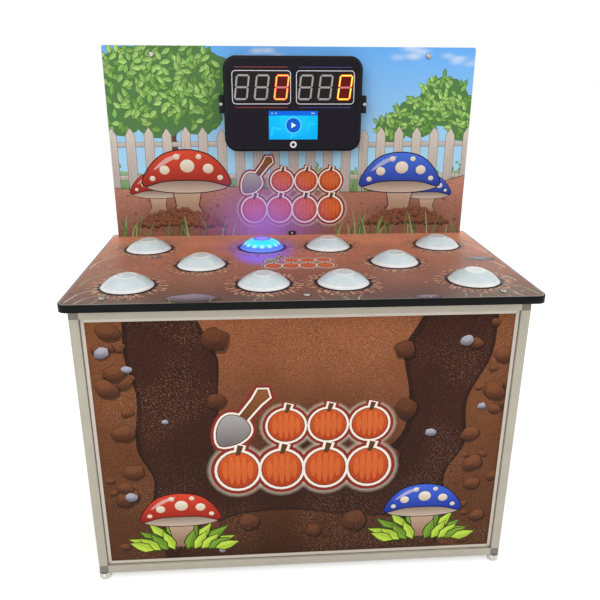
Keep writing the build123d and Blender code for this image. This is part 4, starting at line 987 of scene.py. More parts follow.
for dome, (ring_x, ring_y) in dome_middles.items():
    add_glow(deck_drawing, ring_x, ring_y, 0.135, 0.135, tint(40, 24, 20), 1.0)
    # Round the lit dome its violet light is painted on the earth: its dashes and dark ring take violet tones,
    # and two painted pools of its light lie round and in front of it.
    if dome == lit_name:
        ring_light, ring_dark, ring_shade = tint(206, 150, 214), tint(112, 74, 168), tint(62, 40, 130)
        add_glow(deck_drawing, lit_x, lit_y, 0.17, 0.16, tint(160, 112, 190), 1.1, 8)
        add_glow(deck_drawing, lit_x, lit_y - 0.085, 0.1, 0.13, tint(166, 122, 255), 3.4, 8)
    else:
        ring_light, ring_dark, ring_shade = tint(216, 156, 126), tint(140, 88, 66), tint(26, 18, 20)
    deck_drawing.add(oval(ring_x, ring_y + 0.002, 0.08, 0.0765, 32), ring_shade, 0.88)
    for row, dash_count in enumerate((38, 36, 32)):
        for k in range(dash_count):
            dash_turn = tau * (k + deck_chance.uniform(-0.3, 0.3)) / dash_count
            dash_reach = 0.0815 + row * 0.009 + deck_chance.uniform(-0.0025, 0.003)
            dash_size = deck_chance.uniform(0.0042, 0.0072)
            dash_x, dash_y = ring_x + dash_reach * cos(dash_turn), ring_y + dash_reach * sin(dash_turn)
            body = pebble_outline(deck_chance, dash_x, dash_y, dash_size * 1.15, dash_size * 0.72,
                                  dash_turn, 6)
            deck_drawing.add([(px + 0.0008, py - 0.0016) for px, py in body], tint(44, 26, 22), 0.7)
            tone = deck_chance.random() ** 1.4
            deck_drawing.add(body, tuple(a + (b - a) * tone for a, b in zip(ring_light, ring_dark)), 1.0, 0.3)
for _ in range(70):
    near_side = deck_chance.random() < 0.75
    blade_x = deck_width * (deck_chance.choice((-1, 1)) * deck_chance.uniform(0.4, 0.49) if near_side
                            else deck_chance.uniform(-0.45, 0.45))
    blade_y = deck_depth * (deck_chance.uniform(-0.48, 0.3) if near_side else -0.49)
    blade_green = deck_chance.choice((tint(150, 168, 112), tint(96, 120, 74), tint(178, 190, 150)))
    add_blade(deck_drawing, blade_x, blade_y, deck_chance.uniform(0.02, 0.05),
              deck_chance.uniform(-0.05, 0.05), 0.0024, blade_green)
for blade_x, blade_y, blade_length, blade_lean in (
    (-0.585, -0.33, 0.16, 0.13), (-0.56, -0.34, 0.1, 0.14), (-0.58, -0.2, 0.15, 0.1),
    (-0.59, -0.05, 0.16, 0.07), (-0.52, -0.34, 0.07, 0.1), (-0.585, 0.1, 0.14, 0.06),
    (-0.47, -0.1, 0.06, -0.1), (0.585, -0.33, 0.15, -0.14), (0.57, -0.22, 0.13, -0.12),
    (0.585, -0.1, 0.14, -0.1), (0.54, -0.34, 0.06, -0.12), (0.585, 0.06, 0.15, -0.06),
    (0.5, -0.3, 0.05, 0.09), (0.1, -0.345, 0.05, -0.03), (0.125, -0.345, 0.04, 0.02),
    (-0.13, -0.345, 0.045, 0.03),
):
    add_blade(deck_drawing, blade_x, blade_y, blade_length, blade_lean, 0.0034,
              deck_chance.choice((tint(196, 206, 166), tint(158, 176, 118), tint(214, 210, 190))))
add_emblem(deck_drawing, 0.0, -0.02, 0.2)
bolt_low, bolt_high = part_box("worktop_bolts")
bolt_y = (bolt_low.y + bolt_high.y) / 2
head_radius = 0.009
bolt_columns = (bolt_low.x + head_radius, 0.0, bolt_high.x - head_radius)
bolt_shade = 0.0115
for bolt_x in bolt_columns:
    deck_drawing.add(oval(bolt_x, bolt_y, bolt_shade, bolt_shade, 20), tint(44, 34, 32), 0.85)
button_hole_radius = 0.0713
for hole_x, hole_y in dome_middles.values():
    deck_drawing.cut(oval(hole_x, hole_y, button_hole_radius, button_hole_radius, 48))
deck_place = Matrix.Translation((0.0, (print_low.y + print_high.y) / 2, deck_top))
deck_print = printed_finish("satin_deck_print", 0.5, 0.06, 0.3, 2.0, 240.0, 0.35)
deck_mesh = painted_panel("worktop_print_sheet", deck_drawing, deck_thickness, deck_place, tint(120, 104, 92))
add_piece("worktop_printed_sheet", deck_mesh, "table", ("worktop_print",), (deck_print,))


# Dome-head bolts: M8 and M6 button heads with a key socket, zinc plated.
# Three hold the worktop's front, two the backboard's top, four the uprights and two the mounts.
fastener_tree = bpy.data.node_groups.new("Fasteners on Points", "GeometryNodeTree")
socket(fastener_tree, "INPUT", "NodeSocketGeometry", "Points")
fastener_kind = socket(fastener_tree, "INPUT", "NodeSocketObject", "Fastener")
fastener_size = socket(fastener_tree, "INPUT", "NodeSocketFloat", "Size", 1.0)
fastener_tilt = socket(fastener_tree, "INPUT", "NodeSocketVector", "Tilt")
fastener_finish = socket(fastener_tree, "INPUT", "NodeSocketMaterial", "Finish")
socket(fastener_tree, "OUTPUT", "NodeSocketGeometry", "Fasteners")
tree_in = fastener_tree.nodes.new("NodeGroupInput")
tree_out = fastener_tree.nodes.new("NodeGroupOutput")
pattern = fastener_tree.nodes.new("GeometryNodeObjectInfo")
on_points = fastener_tree.nodes.new("GeometryNodeInstanceOnPoints")
realize = fastener_tree.nodes.new("GeometryNodeRealizeInstances")
set_finish = fastener_tree.nodes.new("GeometryNodeSetMaterial")
join_all(fastener_tree, (
    (tree_in.outputs["Points"], on_points.inputs["Points"]),
    (tree_in.outputs["Fastener"], pattern.inputs["Object"]),
    (pattern.outputs["Geometry"], on_points.inputs["Instance"]),
    (tree_in.outputs["Size"], on_points.inputs["Scale"]),
    (tree_in.outputs["Tilt"], on_points.inputs["Rotation"]),
    (on_points.outputs["Instances"], realize.inputs["Geometry"]),
    (realize.outputs["Geometry"], set_finish.inputs["Geometry"]),
    (tree_in.outputs["Finish"], set_finish.inputs["Material"]),
    (set_finish.outputs["Geometry"], tree_out.inputs["Fasteners"]),
))


def grown_from_points(name, points, tree, values, body, replaced=()):
    """Runs a node tree on a cloud of points and keeps its result as a plain piece."""
    cloud = bpy.data.meshes.new(f"{name}_points")
    cloud.from_pydata(points, [], [])
    holder = bpy.data.objects.new(f"{name}_points", cloud)
    bpy.context.collection.objects.link(holder)
    modifier = holder.modifiers.new("repeat", "NODES")
    modifier.node_group = tree
    for made, value in values:
        modifier[made.identifier] = value
    bpy.context.view_layer.update()
    evaluated = holder.evaluated_get(bpy.context.evaluated_depsgraph_get())
    mesh = bpy.data.meshes.new_from_object(evaluated)
    mesh.name = name
    holder.modifiers.remove(modifier)
    bpy.data.objects.remove(holder)
    smooth_by_angle(mesh)
    return add_piece(name, mesh, body, replaced)


head_height = 0.005
head_rim = 0.0014
shank_radius = 0.004
head_round = 0.0003
socket_radius = 0.0032
socket_depth = 0.0024


def bolt_pattern(name, shank_length):
    """A button-head bolt about the origin, its head upwards, kept out of the scene."""
    shape = bmesh.new()
    steps = 24
    crown_steps = 6
    profile = [(0, -shank_length), (shank_radius, -shank_length), (shank_radius, 0),
               (head_radius - head_round, 0), (head_radius, head_round), (head_radius, head_rim)]
    for k in range(1, crown_steps):
        share = k / crown_steps
        profile.append((head_radius - (head_radius - socket_radius * 1.2) * share,
                        head_rim + (head_height - head_rim) * (1 - (1 - share) ** 2)))
    profile += [(socket_radius, head_height), (socket_radius * 0.96, head_height - socket_depth),
                (0, head_height - socket_depth * 1.1)]
    turned(shape, profile, (0.0, 0.0), steps)
    return bpy.data.objects.new(name, closed_mesh(name, shape))


bright_zinc = finish("bright_zinc", tint(176, 172, 164), 0.3, 1.0, 0.1, 900.0)
worktop_shank = 0.029
worktop_bolt = bolt_pattern("worktop_bolt", worktop_shank)
worktop_points = [(x, bolt_y, deck_top) for x in bolt_columns]
grown_from_points(
    "worktop_bolt_set", worktop_points, fastener_tree,
    ((fastener_kind, worktop_bolt), (fastener_size, 1.0), (fastener_finish, bright_zinc)),
    "table", ("worktop_bolts",),
)


# Worktop subframe: mitred steel tube on top of the leg frame, with three brackets to the front bolts.
# It is welded up and powder coated black; weld nuts under the brackets take the bolts.
black_steel = finish("black_powder_coat", tint(38, 38, 38), 0.5, 0.0, 0.12, 500.0, depth=0.00012)
welded_edge = 0.001
dressed_copy("worktop_subframe", "table", black_steel, welded_edge)


# Dome buttons: a milky polycarbonate dome on a spring, in a low black pan let into the worktop.
# A white board with fourteen lamps lies in the pan; here the lamps of one dome are lit.
dome_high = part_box("left_dome_1")[1]
pan_lift = 0.0006
dome_bottom = deck_top + pan_lift
dome_wall = 0.0025
lip_height = 0.0012
disc_radius = 0.026
stem_radius = 0.012
bulge = 0.004
lip_round = 0.0003
side_inset = 0.0008
disc_rim = 0.0008
stem_round = 0.0008
dish_share = 0.75
dome_steps = 64


def milky(name, alpha, colour, shades=()):
    """Clouded plastic, whose tone may change from the dome's rim, 0, up to its disc, 1."""
    material = finish(name, colour, 0.26, 0.0, 0.13, 1200.0, spread=0.08, depth=0.00003, alpha=alpha,
                      coat=0.5)
    if shades:
        tree = material.node_tree
        grain = next(n for n in tree.nodes if n.type == "GROUP")
        join(tree, tone_by_height(tree, shades), grain.inputs["Colour"])
    return material


def tone_by_height(tree, shades):
    """Colours between the rim's and the disc's height, as pairs of height share and colour."""
    place = tree.nodes.new("ShaderNodeTexCoord")
    parts = tree.nodes.new("ShaderNodeSeparateXYZ")
    share = add_node(tree, "ShaderNodeMapRange", From_Min=dome_bottom, From_Max=dome_high.z)
    ramp = tree.nodes.new("ShaderNodeValToRGB")
    points = ramp.color_ramp.elements
    for _ in shades[2:]:
        points.new(0.5)
    for point, (height, colour) in zip(points, shades):
        point.position = height
        point.color = colour
    join(tree, place.outputs["Object"], parts.inputs[0])
    join(tree, parts.outputs["Z"], share.inputs["Value"])
    join(tree, share.outputs["Result"], ramp.inputs["Fac"])
    return ramp.outputs["Color"]


# The wall's tone from rim to disc is the clouded plastic's own, except for three painted highlights: the
# whiter skirt (partly its own tone), a white line above it and a white band just below the disc.
milky_wall_and_highlights = milky("milky_wall_and_highlights", 0.9, tint(222, 233, 233), (
    (0.0, tint(254, 251, 249)), (0.15, tint(244, 242, 242)), (0.2, tint(255, 255, 255)),
    (0.27, tint(228, 236, 238)), (0.6, tint(216, 230, 232)), (0.93, tint(222, 231, 232)),
    (0.975, tint(255, 255, 255)),
))
milky_disc = milky("milky_disc", 0.9, tint(232, 239, 237))

lamp_count = 14
lamp_band_height = 0.0148
lamp_band_half = 0.0062
lit_base = (
    (0.0, tint(98, 118, 250)), (0.22, tint(84, 122, 250)), (0.36, tint(40, 100, 245)),
    (0.46, tint(24, 190, 240)), (0.62, tint(40, 240, 250)), (0.95, tint(70, 226, 255)),
    (0.985, tint(56, 92, 236)), (1.0, tint(58, 84, 230)),
)
lit_wall = milky("lit_wall", 1.0, tint(20, 70, 110))
wall_tree = lit_wall.node_tree
wall_shader = wall_tree.nodes["Principled BSDF"]
wall_place = wall_tree.nodes.new("ShaderNodeTexCoord")
wall_about = add_node(wall_tree, "ShaderNodeMapping", Location=(-lit_x, -lit_y, 0.0))
wall_parts = wall_tree.nodes.new("ShaderNodeSeparateXYZ")
wall_turn = add_node(wall_tree, "ShaderNodeMath", {"operation": "ARCTAN2"})
wall_lamps = add_node(wall_tree, "ShaderNodeMath", {"operation": "MULTIPLY"})
wall_lamps.inputs[1].default_value = lamp_count
wall_wave = add_node(wall_tree, "ShaderNodeMath", {"operation": "COSINE"})
wall_spots = add_node(wall_tree, "ShaderNodeMapRange", {"interpolation_type": "SMOOTHSTEP"},
                      From_Min=-0.9, From_Max=1.0)
wall_band = add_node(wall_tree, "ShaderNodeMapRange", {"interpolation_type": "SMOOTHSTEP"},
                     From_Min=0.0, From_Max=lamp_band_half, To_Min=1.0, To_Max=0.0)
wall_off = add_node(wall_tree, "ShaderNodeMath", {"operation": "SUBTRACT"})
wall_off.inputs[1].default_value = dome_bottom + lamp_band_height
wall_distance = add_node(wall_tree, "ShaderNodeMath", {"operation": "ABSOLUTE"})
wall_both = add_node(wall_tree, "ShaderNodeMath", {"operation": "MULTIPLY"})
wall_light = add_node(wall_tree, "ShaderNodeMix", {"data_type": "RGBA"})
wall_light.inputs["B"].default_value = tint(190, 255, 255)
wall_shader.inputs["Emission Strength"].default_value = 0.95
join_all(wall_tree, (
    (wall_place.outputs["Object"], wall_about.inputs["Vector"]),
    (wall_about.outputs["Vector"], wall_parts.inputs["Vector"]),
    (wall_parts.outputs["X"], wall_turn.inputs[0]),
    (wall_parts.outputs["Y"], wall_turn.inputs[1]),
    (wall_turn.outputs[0], wall_lamps.inputs[0]),
    (wall_lamps.outputs[0], wall_wave.inputs[0]),
    (wall_wave.outputs[0], wall_spots.inputs["Value"]),
    (wall_parts.outputs["Z"], wall_off.inputs[0]),
    (wall_off.outputs[0], wall_distance.inputs[0]),
    (wall_distance.outputs[0], wall_band.inputs["Value"]),
    (wall_spots.outputs["Result"], wall_both.inputs[0]),
    (wall_band.outputs["Result"], wall_both.inputs[1]),
    (wall_both.outputs[0], wall_light.inputs["Factor"]),
    (tone_by_height(wall_tree, lit_base), wall_light.inputs["A"]),
    (wall_light.outputs["Result"], wall_shader.inputs["Emission Color"]),
))
lit_disc = milky("lit_disc", 1.0, tint(20, 40, 110))
lit_disc_shader = lit_disc.node_tree.nodes["Principled BSDF"]
lit_disc_shader.inputs["Emission Color"].default_value = tint(138, 150, 255)
lit_disc_shader.inputs["Emission Strength"].default_value = 0.85


def side_curve(radius, from_z, to_z):
    """The bulged side from the shoulder up to the disc's edge."""
    count = 12
    across, up = disc_radius - radius, to_z - from_z
    length = (across * across + up * up) ** 0.5
    return [
        (radius + across * t + 4 * bulge * t * (1 - t) * up / length,
         from_z + up * t - 4 * bulge * t * (1 - t) * across / length)
        for t in (k / count for k in range(count + 1))
    ]


for dome in dome_names:
    low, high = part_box(dome)
    dome_radius = (high.x - low.x) / 2
    shoulder = dome_bottom + lip_height
    crown = high.z
    disc_edge = crown - disc_rim
    outer = [(dome_radius - lip_round, dome_bottom), (dome_radius, dome_bottom + lip_round),
             (dome_radius, shoulder - lip_round), (dome_radius - side_inset / 2, shoulder)]
    side = side_curve(dome_radius - side_inset, shoulder + 0.0001, disc_edge)
    top = [(disc_radius - 0.0004, crown - 0.0002), (disc_radius - 0.001, crown),
           (disc_radius - 0.0022, crown - 0.0003), (disc_radius * dish_share, crown - 0.0005),
           (disc_radius * 0.4, crown - 0.0003), (0, crown - 0.0002)]
    inner = side_curve(dome_radius - dome_wall - 0.001, shoulder, disc_edge - dome_wall)[::-1]
    stem = [(0, low.z), (stem_radius - stem_round, low.z), (stem_radius, low.z + stem_round),
            (stem_radius, crown - dome_wall)]
    profile = outer + side[1:] + top + stem + inner + [(dome_radius - dome_wall, dome_bottom)]
    dome_shape = bmesh.new()
    turned(dome_shape, profile, dome_middles[dome], dome_steps, closed=True)
    finishes = (lit_wall, lit_disc) if dome == lit_name else (milky_wall_and_highlights, milky_disc)
    disc_reach = disc_radius * dish_share if dome == lit_name else disc_radius - 0.002
    for face in dome_shape.faces:
        middle = face.calc_center_median()
        reach = ((middle.x - dome_middles[dome][0]) ** 2 + (middle.y - dome_middles[dome][1]) ** 2) ** 0.5
        if reach < disc_reach and middle.z > crown - 0.0015:
            face.material_index = 1
    add_piece(f"{dome}_moulded", closed_mesh(dome, dome_shape), dome, (dome,), finishes)

pan_plastic = finish("black_pan", tint(30, 30, 32), 0.42, 0.0, 0.1, 500.0)
fine_edge = 0.0004
for pan_part in ("button_collars", "button_lock_rings"):
    dressed_copy(pan_part, "table", pan_plastic, fine_edge)
board_white = finish("white_lamp_board", tint(226, 228, 224), 0.5, 0.0, 0.05, 400.0)
repaint("button_lamp_boards", board_white)
repaint("button_switches", finish("switch_plastic", tint(36, 36, 38), 0.45, 0.0, 0.1, 500.0))

spring_tree = bpy.data.node_groups.new("Spring on Its Point", "GeometryNodeTree")
socket(spring_tree, "INPUT", "NodeSocketGeometry", "Points")
coil_radius = socket(spring_tree, "INPUT", "NodeSocketFloat", "Coil Radius", 0.015)
wire_radius = socket(spring_tree, "INPUT", "NodeSocketFloat", "Wire Radius", 0.0007)
coil_height = socket(spring_tree, "INPUT", "NodeSocketFloat", "Height", 0.02)
coil_turns = socket(spring_tree, "INPUT", "NodeSocketFloat", "Turns", 5.0)
coil_finish = socket(spring_tree, "INPUT", "NodeSocketMaterial", "Finish")
socket(spring_tree, "OUTPUT", "NodeSocketGeometry", "Springs")
spring_in = spring_tree.nodes.new("NodeGroupInput")
spring_out = spring_tree.nodes.new("NodeGroupOutput")
coil = add_node(spring_tree, "GeometryNodeCurveSpiral", Resolution=20)
wire = add_node(spring_tree, "GeometryNodeCurvePrimitiveCircle", Resolution=6)
coil_mesh = spring_tree.nodes.new("GeometryNodeCurveToMesh")
coil_mesh.inputs["Fill Caps"].default_value = True
coils_placed = spring_tree.nodes.new("GeometryNodeInstanceOnPoints")
coils_real = spring_tree.nodes.new("GeometryNodeRealizeInstances")
coils_finished = spring_tree.nodes.new("GeometryNodeSetMaterial")
join_all(spring_tree, (
    (spring_in.outputs["Turns"], coil.inputs["Rotations"]),
    (spring_in.outputs["Coil Radius"], coil.inputs["Start Radius"]),
    (spring_in.outputs["Coil Radius"], coil.inputs["End Radius"]),
    (spring_in.outputs["Height"], coil.inputs["Height"]),
    (spring_in.outputs["Wire Radius"], wire.inputs["Radius"]),
    (coil.outputs["Curve"], coil_mesh.inputs["Curve"]),
    (wire.outputs["Curve"], coil_mesh.inputs["Profile Curve"]),
    (spring_in.outputs["Points"], coils_placed.inputs["Points"]),
    (coil_mesh.outputs["Mesh"], coils_placed.inputs["Instance"]),
    (coils_placed.outputs["Instances"], coils_real.inputs["Geometry"]),
    (coils_real.outputs["Geometry"], coils_finished.inputs["Geometry"]),
    (spring_in.outputs["Finish"], coils_finished.inputs["Material"]),
    (coils_finished.outputs["Geometry"], spring_out.inputs["Springs"]),
))
spring_low, spring_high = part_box("button_springs")
spring_radius = 0.015
spring_turns = 5.0
wire_size = 0.0007
spring_steel = finish("spring_steel", tint(190, 190, 190), 0.3, 1.0, 0.05, 900.0)
for dome, (x, y) in dome_middles.items():
    dome_spring = grown_from_points(
        f"{dome}_spring", [(x, y, spring_low.z + wire_size)], spring_tree,
        ((coil_radius, spring_radius), (wire_radius, wire_size),
         (coil_height, spring_high.z - spring_low.z - 2 * wire_size), (coil_turns, spring_turns),
         (coil_finish, spring_steel)), None, ("button_springs",),
    )
    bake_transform(dome_spring)


# Backboard: a 6 mm sheet printed with a garden, which stands on the worktop's rear.
# Two uprights of square tube on base plates carry it, and a rail between them the scoreboard.
back_low, back_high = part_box("backboard")
back_width = back_high.x - back_low.x
back_height = back_high.z - back_low.z
back_corner = 0.007
notch_half, notch_height = 0.0105, 0.0116
back_outline = [(-back_width / 2, 0.0), (-notch_half, 0.0), (-notch_half, notch_height),
                (notch_half, notch_height), (notch_half, 0.0), (back_width / 2, 0.0)]
for corner_side, start_angle in ((1, 0), (-1, 90)):
    for k in range(7):
        a = radians(start_angle + 15 * k)
        back_outline.append((corner_side * (back_width / 2 - back_corner) + back_corner * cos(a),
                             back_height - back_corner + back_corner * sin(a)))
back_chance = random.Random(3)
sky_top, sky_low = tint(108, 180, 250), tint(172, 220, 246)
back_drawing = Drawing(back_outline, upright_fade(sky_top, sky_low, back_height, 0.26), 0.0)
for cloud_x, cloud_y, cloud_size in ((0.55, 0.56, 0.06), (0.36, 0.582, 0.07), (-0.1, 0.57, 0.06),
                                     (-0.5, 0.57, 0.06)):
    for _ in range(7):
        puff_x = cloud_x + cloud_size * back_chance.uniform(-1, 1)
        puff_y = cloud_y + cloud_size * 0.25 * back_chance.uniform(-1, 1)
        add_glow(back_drawing, puff_x, puff_y, cloud_size * 0.55, cloud_size * 0.22, tint(238, 244, 252),
                 0.5, 4, 20)
hill = rounded_loop([(-0.64, 0.12), (-0.64, 0.22), (-0.4, 0.2), (-0.1, 0.205), (0.2, 0.215), (0.44, 0.19),
                     (0.64, 0.23), (0.64, 0.12)])
back_drawing.add(hill, upright_fade(tint(150, 190, 150), tint(104, 146, 84), 0.22, 0.15))
for bush_x, bush_size in ((0.04, 0.05), (0.1, 0.06), (0.17, 0.045), (-0.58, 0.05), (0.53, 0.05)):
    for _ in range(22):
        leaf_turn, leaf_reach = back_chance.uniform(0, tau), bush_size * back_chance.random() ** 0.5
        add_leaf(back_drawing, bush_x + leaf_reach * cos(leaf_turn), 0.2 + leaf_reach * sin(leaf_turn),
                 0.016, 0.007, back_chance.uniform(-0.4, 2.6), tint(108, 152, 84))


def add_crown(drawing, chance, blobs, leaf_count, leaf_length):
    """A tree's crown: dark rounds behind, then layers of pointed leaves, lighter to the top left."""
    for x, y, radius in blobs:
        drawing.add(pebble_outline(chance, x, y, radius, radius * 0.9, 0.0, 22, 0.06), tint(84, 128, 72))
    total = sum(radius * radius for _, _, radius in blobs)
    for layer, tone in enumerate((tint(98, 146, 66), tint(124, 170, 82), tint(152, 192, 104))):
        for x, y, radius in blobs:
            for _ in range(int(leaf_count * radius * radius / total / 3)):
                turn = chance.uniform(0, tau)
                reach = radius * (chance.random() ** 0.5) * (1.0 - 0.12 * layer)
                lift = radius * 0.1 * layer
                lightness = chance.uniform(0.78, 1.15)
                add_leaf(drawing, x + reach * cos(turn) - lift, y + reach * sin(turn) * 0.9 + lift,
                         leaf_length * chance.uniform(0.8, 1.2), leaf_length * 0.5,
                         chance.uniform(-0.4, 2.2) + layer, tuple(c * lightness for c in tone[:3]),
                         tint(70, 104, 52))


trunk = [(-0.42, 0.2), (-0.405, 0.32), (-0.43, 0.44), (-0.35, 0.44), (-0.37, 0.32), (-0.355, 0.2)]
add_shaded(back_drawing, trunk, tint(110, 82, 58), tint(84, 60, 44), 0.5)
add_crown(back_drawing, back_chance, ((-0.5, 0.5, 0.1), (-0.38, 0.53, 0.12), (-0.27, 0.49, 0.1),
                                      (-0.42, 0.41, 0.1), (-0.54, 0.39, 0.07), (-0.3, 0.4, 0.08)), 350,
          0.031)
add_crown(back_drawing, back_chance,
          ((0.49, 0.43, 0.085), (0.4, 0.38, 0.07), (0.57, 0.38, 0.08), (0.32, 0.345, 0.05)), 260, 0.024)
rail_light, rail_dark = tint(214, 204, 190), tint(176, 164, 162)
for rail_y in (0.188, 0.292):
    rail = [(-0.6, rail_y), (-0.2, rail_y + 0.003), (0.2, rail_y - 0.002), (0.6, rail_y + 0.002),
            (0.6, rail_y + 0.016), (0.2, rail_y + 0.013), (-0.2, rail_y + 0.017), (-0.6, rail_y + 0.014)]
    add_shaded(back_drawing, rail, rail_light, rail_dark, 0.25, tint(104, 92, 82), 0.0012)
for picket in range(21):
    picket_x = -0.572 + 0.0575 * picket + back_chance.uniform(-0.002, 0.002)
    picket_top = 0.35 + back_chance.uniform(-0.005, 0.005)
    picket_outline = [(picket_x - 0.0145, 0.12), (picket_x + 0.0145, 0.12),
                      (picket_x + 0.014, picket_top - 0.02), (picket_x + 0.0012, picket_top),
                      (picket_x - 0.0012, picket_top), (picket_x - 0.014, picket_top - 0.02)]
    add_shaded(back_drawing, picket_outline, rail_light, rail_dark, 0.2, tint(112, 98, 88), 0.0014)
    for grain_side in (-0.005, 0.005):
        grain_x = picket_x + grain_side + back_chance.uniform(-0.002, 0.002)
        grain_low, grain_high = back_chance.uniform(0.15, 0.22), back_chance.uniform(0.25, 0.325)
        back_drawing.add([(grain_x - 0.0005, grain_low), (grain_x + 0.0005, grain_low),
                          (grain_x + 0.001, grain_high), (grain_x + 0.0002, grain_high)],
                         tint(140, 120, 108), 0.7)
for _ in range(100):
    tuft_x = back_width * back_chance.uniform(-0.5, 0.5)
    add_blade(back_drawing, tuft_x, 0.14, back_chance.uniform(0.025, 0.075),
              back_chance.uniform(-0.02, 0.02), 0.004,
              back_chance.choice((tint(104, 140, 66), tint(136, 172, 92), tint(74, 106, 52))))
ground = rounded_loop([(-0.64, -0.05), (-0.64, 0.145), (-0.45, 0.152), (-0.2, 0.163), (0.0, 0.148),
                       (0.25, 0.143), (0.45, 0.163), (0.64, 0.186), (0.64, -0.05)])
back_drawing.add(grown(ground, 0.003), tint(74, 46, 34), 0.7)
back_drawing.add(ground, upright_fade(tint(182, 124, 104), tint(132, 88, 72), 0.17, 0.0), 1.0, 0.8)
for _ in range(70):
    add_clod(back_drawing, back_chance, back_width * back_chance.uniform(-0.49, 0.49),
             back_chance.uniform(0.005, 0.14), back_chance.uniform(0.002, 0.006), tint(150, 98, 74),
             tint(92, 56, 42))


def add_mound(drawing, chance, x, y, half_width, height):
    """A heap of loose earth that a toadstool stands in."""
    for row in range(5):
        for k in range(22 - 2 * row):
            share = (k + 0.5) / (22 - 2 * row) * 2 - 1
            clod_x = x + half_width * share * (1 - 0.1 * row) + chance.uniform(-0.004, 0.004)
            clod_y = y + height * (1 - share * share) * (1 - 0.2 * row) + chance.uniform(-0.004, 0.004)
            add_clod(drawing, chance, clod_x, clod_y, chance.uniform(0.007, 0.014), tint(142, 88, 62),
                     tint(76, 44, 32), chance.uniform(-0.8, 0.8))


add_glow(back_drawing, -0.37, 0.07, 0.18, 0.07, tint(40, 24, 18), 0.8)
add_glow(back_drawing, 0.38, 0.07, 0.18, 0.07, tint(40, 24, 18), 0.8)
add_toadstool(back_drawing, -0.44, 0.075, 0.13, tint(214, 66, 46), tint(140, 34, 28), tint(60, 20, 16))
add_toadstool(back_drawing, -0.345, 0.06, 0.21, tint(226, 78, 52), tint(150, 38, 30), tint(60, 20, 16))
add_toadstool(back_drawing, 0.455, 0.07, 0.12, tint(70, 104, 206), tint(36, 48, 132), tint(18, 22, 62))
add_toadstool(back_drawing, 0.36, 0.06, 0.2, tint(76, 118, 226), tint(38, 54, 150), tint(18, 22, 62))
add_mound(back_drawing, back_chance, -0.375, 0.035, 0.15, 0.05)
add_mound(back_drawing, back_chance, 0.385, 0.035, 0.15, 0.05)
for _ in range(60):
    blade_side = back_chance.choice((-1, 1))
    add_blade(back_drawing, blade_side * back_chance.uniform(0.12, 0.57), 0.0,
              back_chance.uniform(0.02, 0.09), back_chance.uniform(-0.03, 0.03), 0.005,
              back_chance.choice((tint(62, 96, 52), tint(96, 132, 74), tint(140, 168, 108))))
add_glow(back_drawing, 0.0, 0.14, 0.24, 0.16, tint(60, 36, 30), 0.45)
add_emblem(back_drawing, 0.0, 0.137, 0.34)
# The lit dome's violet light, painted as a pool on the backboard's foot.
add_glow(back_drawing, dome_middles[lit_name][0] + 0.01, 0.03, 0.25, 0.22, tint(176, 122, 226), 0.9, 8)
back_place = Matrix.Translation((0.0, back_low.y, back_low.z)) @ upright
back_print = printed_finish("satin_back_print", 0.46, 0.05, 0.15, 2.2, 200.0, 0.3)
back_mesh = painted_panel("backboard_print", back_drawing, back_high.y - back_low.y, back_place,
                          tint(206, 204, 200))
add_piece("backboard_printed", back_mesh, "table", ("backboard",), (back_print,))
dressed_copy("backboard_supports", "table", anodised_along["z"], welded_edge)

panel_shank = 0.016
panel_bolt = bolt_pattern("panel_bolt", panel_shank)
bolts_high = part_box("backboard_bolts")[1]
panel_bolt_x = 0.431
panel_bolt_z = bolts_high.z - head_radius
base_bolt_reach = 0.029
base_bolt_y = bolts_high.y - head_radius
base_plate = 0.004
grown_from_points(
    "backboard_bolt_set", [(side * panel_bolt_x, back_low.y, panel_bolt_z) for side in (-1, 1)],
    fastener_tree, ((fastener_kind, panel_bolt), (fastener_size, 1.0),
                    (fastener_tilt, (radians(90), 0.0, 0.0)), (fastener_finish, bright_zinc)), "table",
    ("backboard_bolts",),
)
base_points = [
    (side * panel_bolt_x + step * base_bolt_reach, base_bolt_y, deck_top + base_plate)
    for side in (-1, 1) for step in (-1, 1)
]
grown_from_points(
    "base_plate_bolt_set", base_points, fastener_tree,
    ((fastener_kind, panel_bolt), (fastener_size, 1.0), (fastener_finish, bright_zinc)),
    "table",
)
grommet_rubber = finish("grommet_rubber", tint(24, 24, 25), 0.6, 0.0, 0.1, 600.0)
grommet_edge = 0.0005
dressed_copy("cable_grommet", "table", grommet_rubber, grommet_edge)


# Scoreboard: a moulded black case on two pivot pins, between blocks bolted to the backboard.
# A polished fascia lies in its front, with printed frames and lines round the two displays.
case_plastic = finish("moulded_black_case", tint(20, 19, 23), 0.42, 0.0, 0.14, 900.0, depth=0.00006,
                      specular=0.15)
dressed_copy("scoreboard_case", "scoreboard", case_plastic, 0.0)
dressed_copy("scoreboard_mounts", "table", case_plastic, moulded_edge)
repaint("scoreboard_cover", case_plastic)
repaint("pivot_pins", spring_steel)
fascia_plastic = finish("polished_fascia", tint(24, 22, 31), 0.3, 0.0, 0.06, 300.0, depth=0.00002,
                        specular=0.12)
dressed_copy("scoreboard_fascia", "scoreboard", fascia_plastic, 0.0)
display_plastic = finish("smoked_display", tint(30, 27, 27), 0.34, 0.0, 0.06, 300.0, depth=0.00002,
                         specular=0.12)
for display in ("left_score_display", "right_score_display"):
    repaint(display, display_plastic)
repaint("touch_screen", display_plastic)
repaint("scoreboard_circuit", finish("green_circuit_board", tint(30, 92, 54), 0.4, 0.0, 0.15, 500.0))

dressed_copy("mount_bolts", "table", bright_zinc, fine_edge)


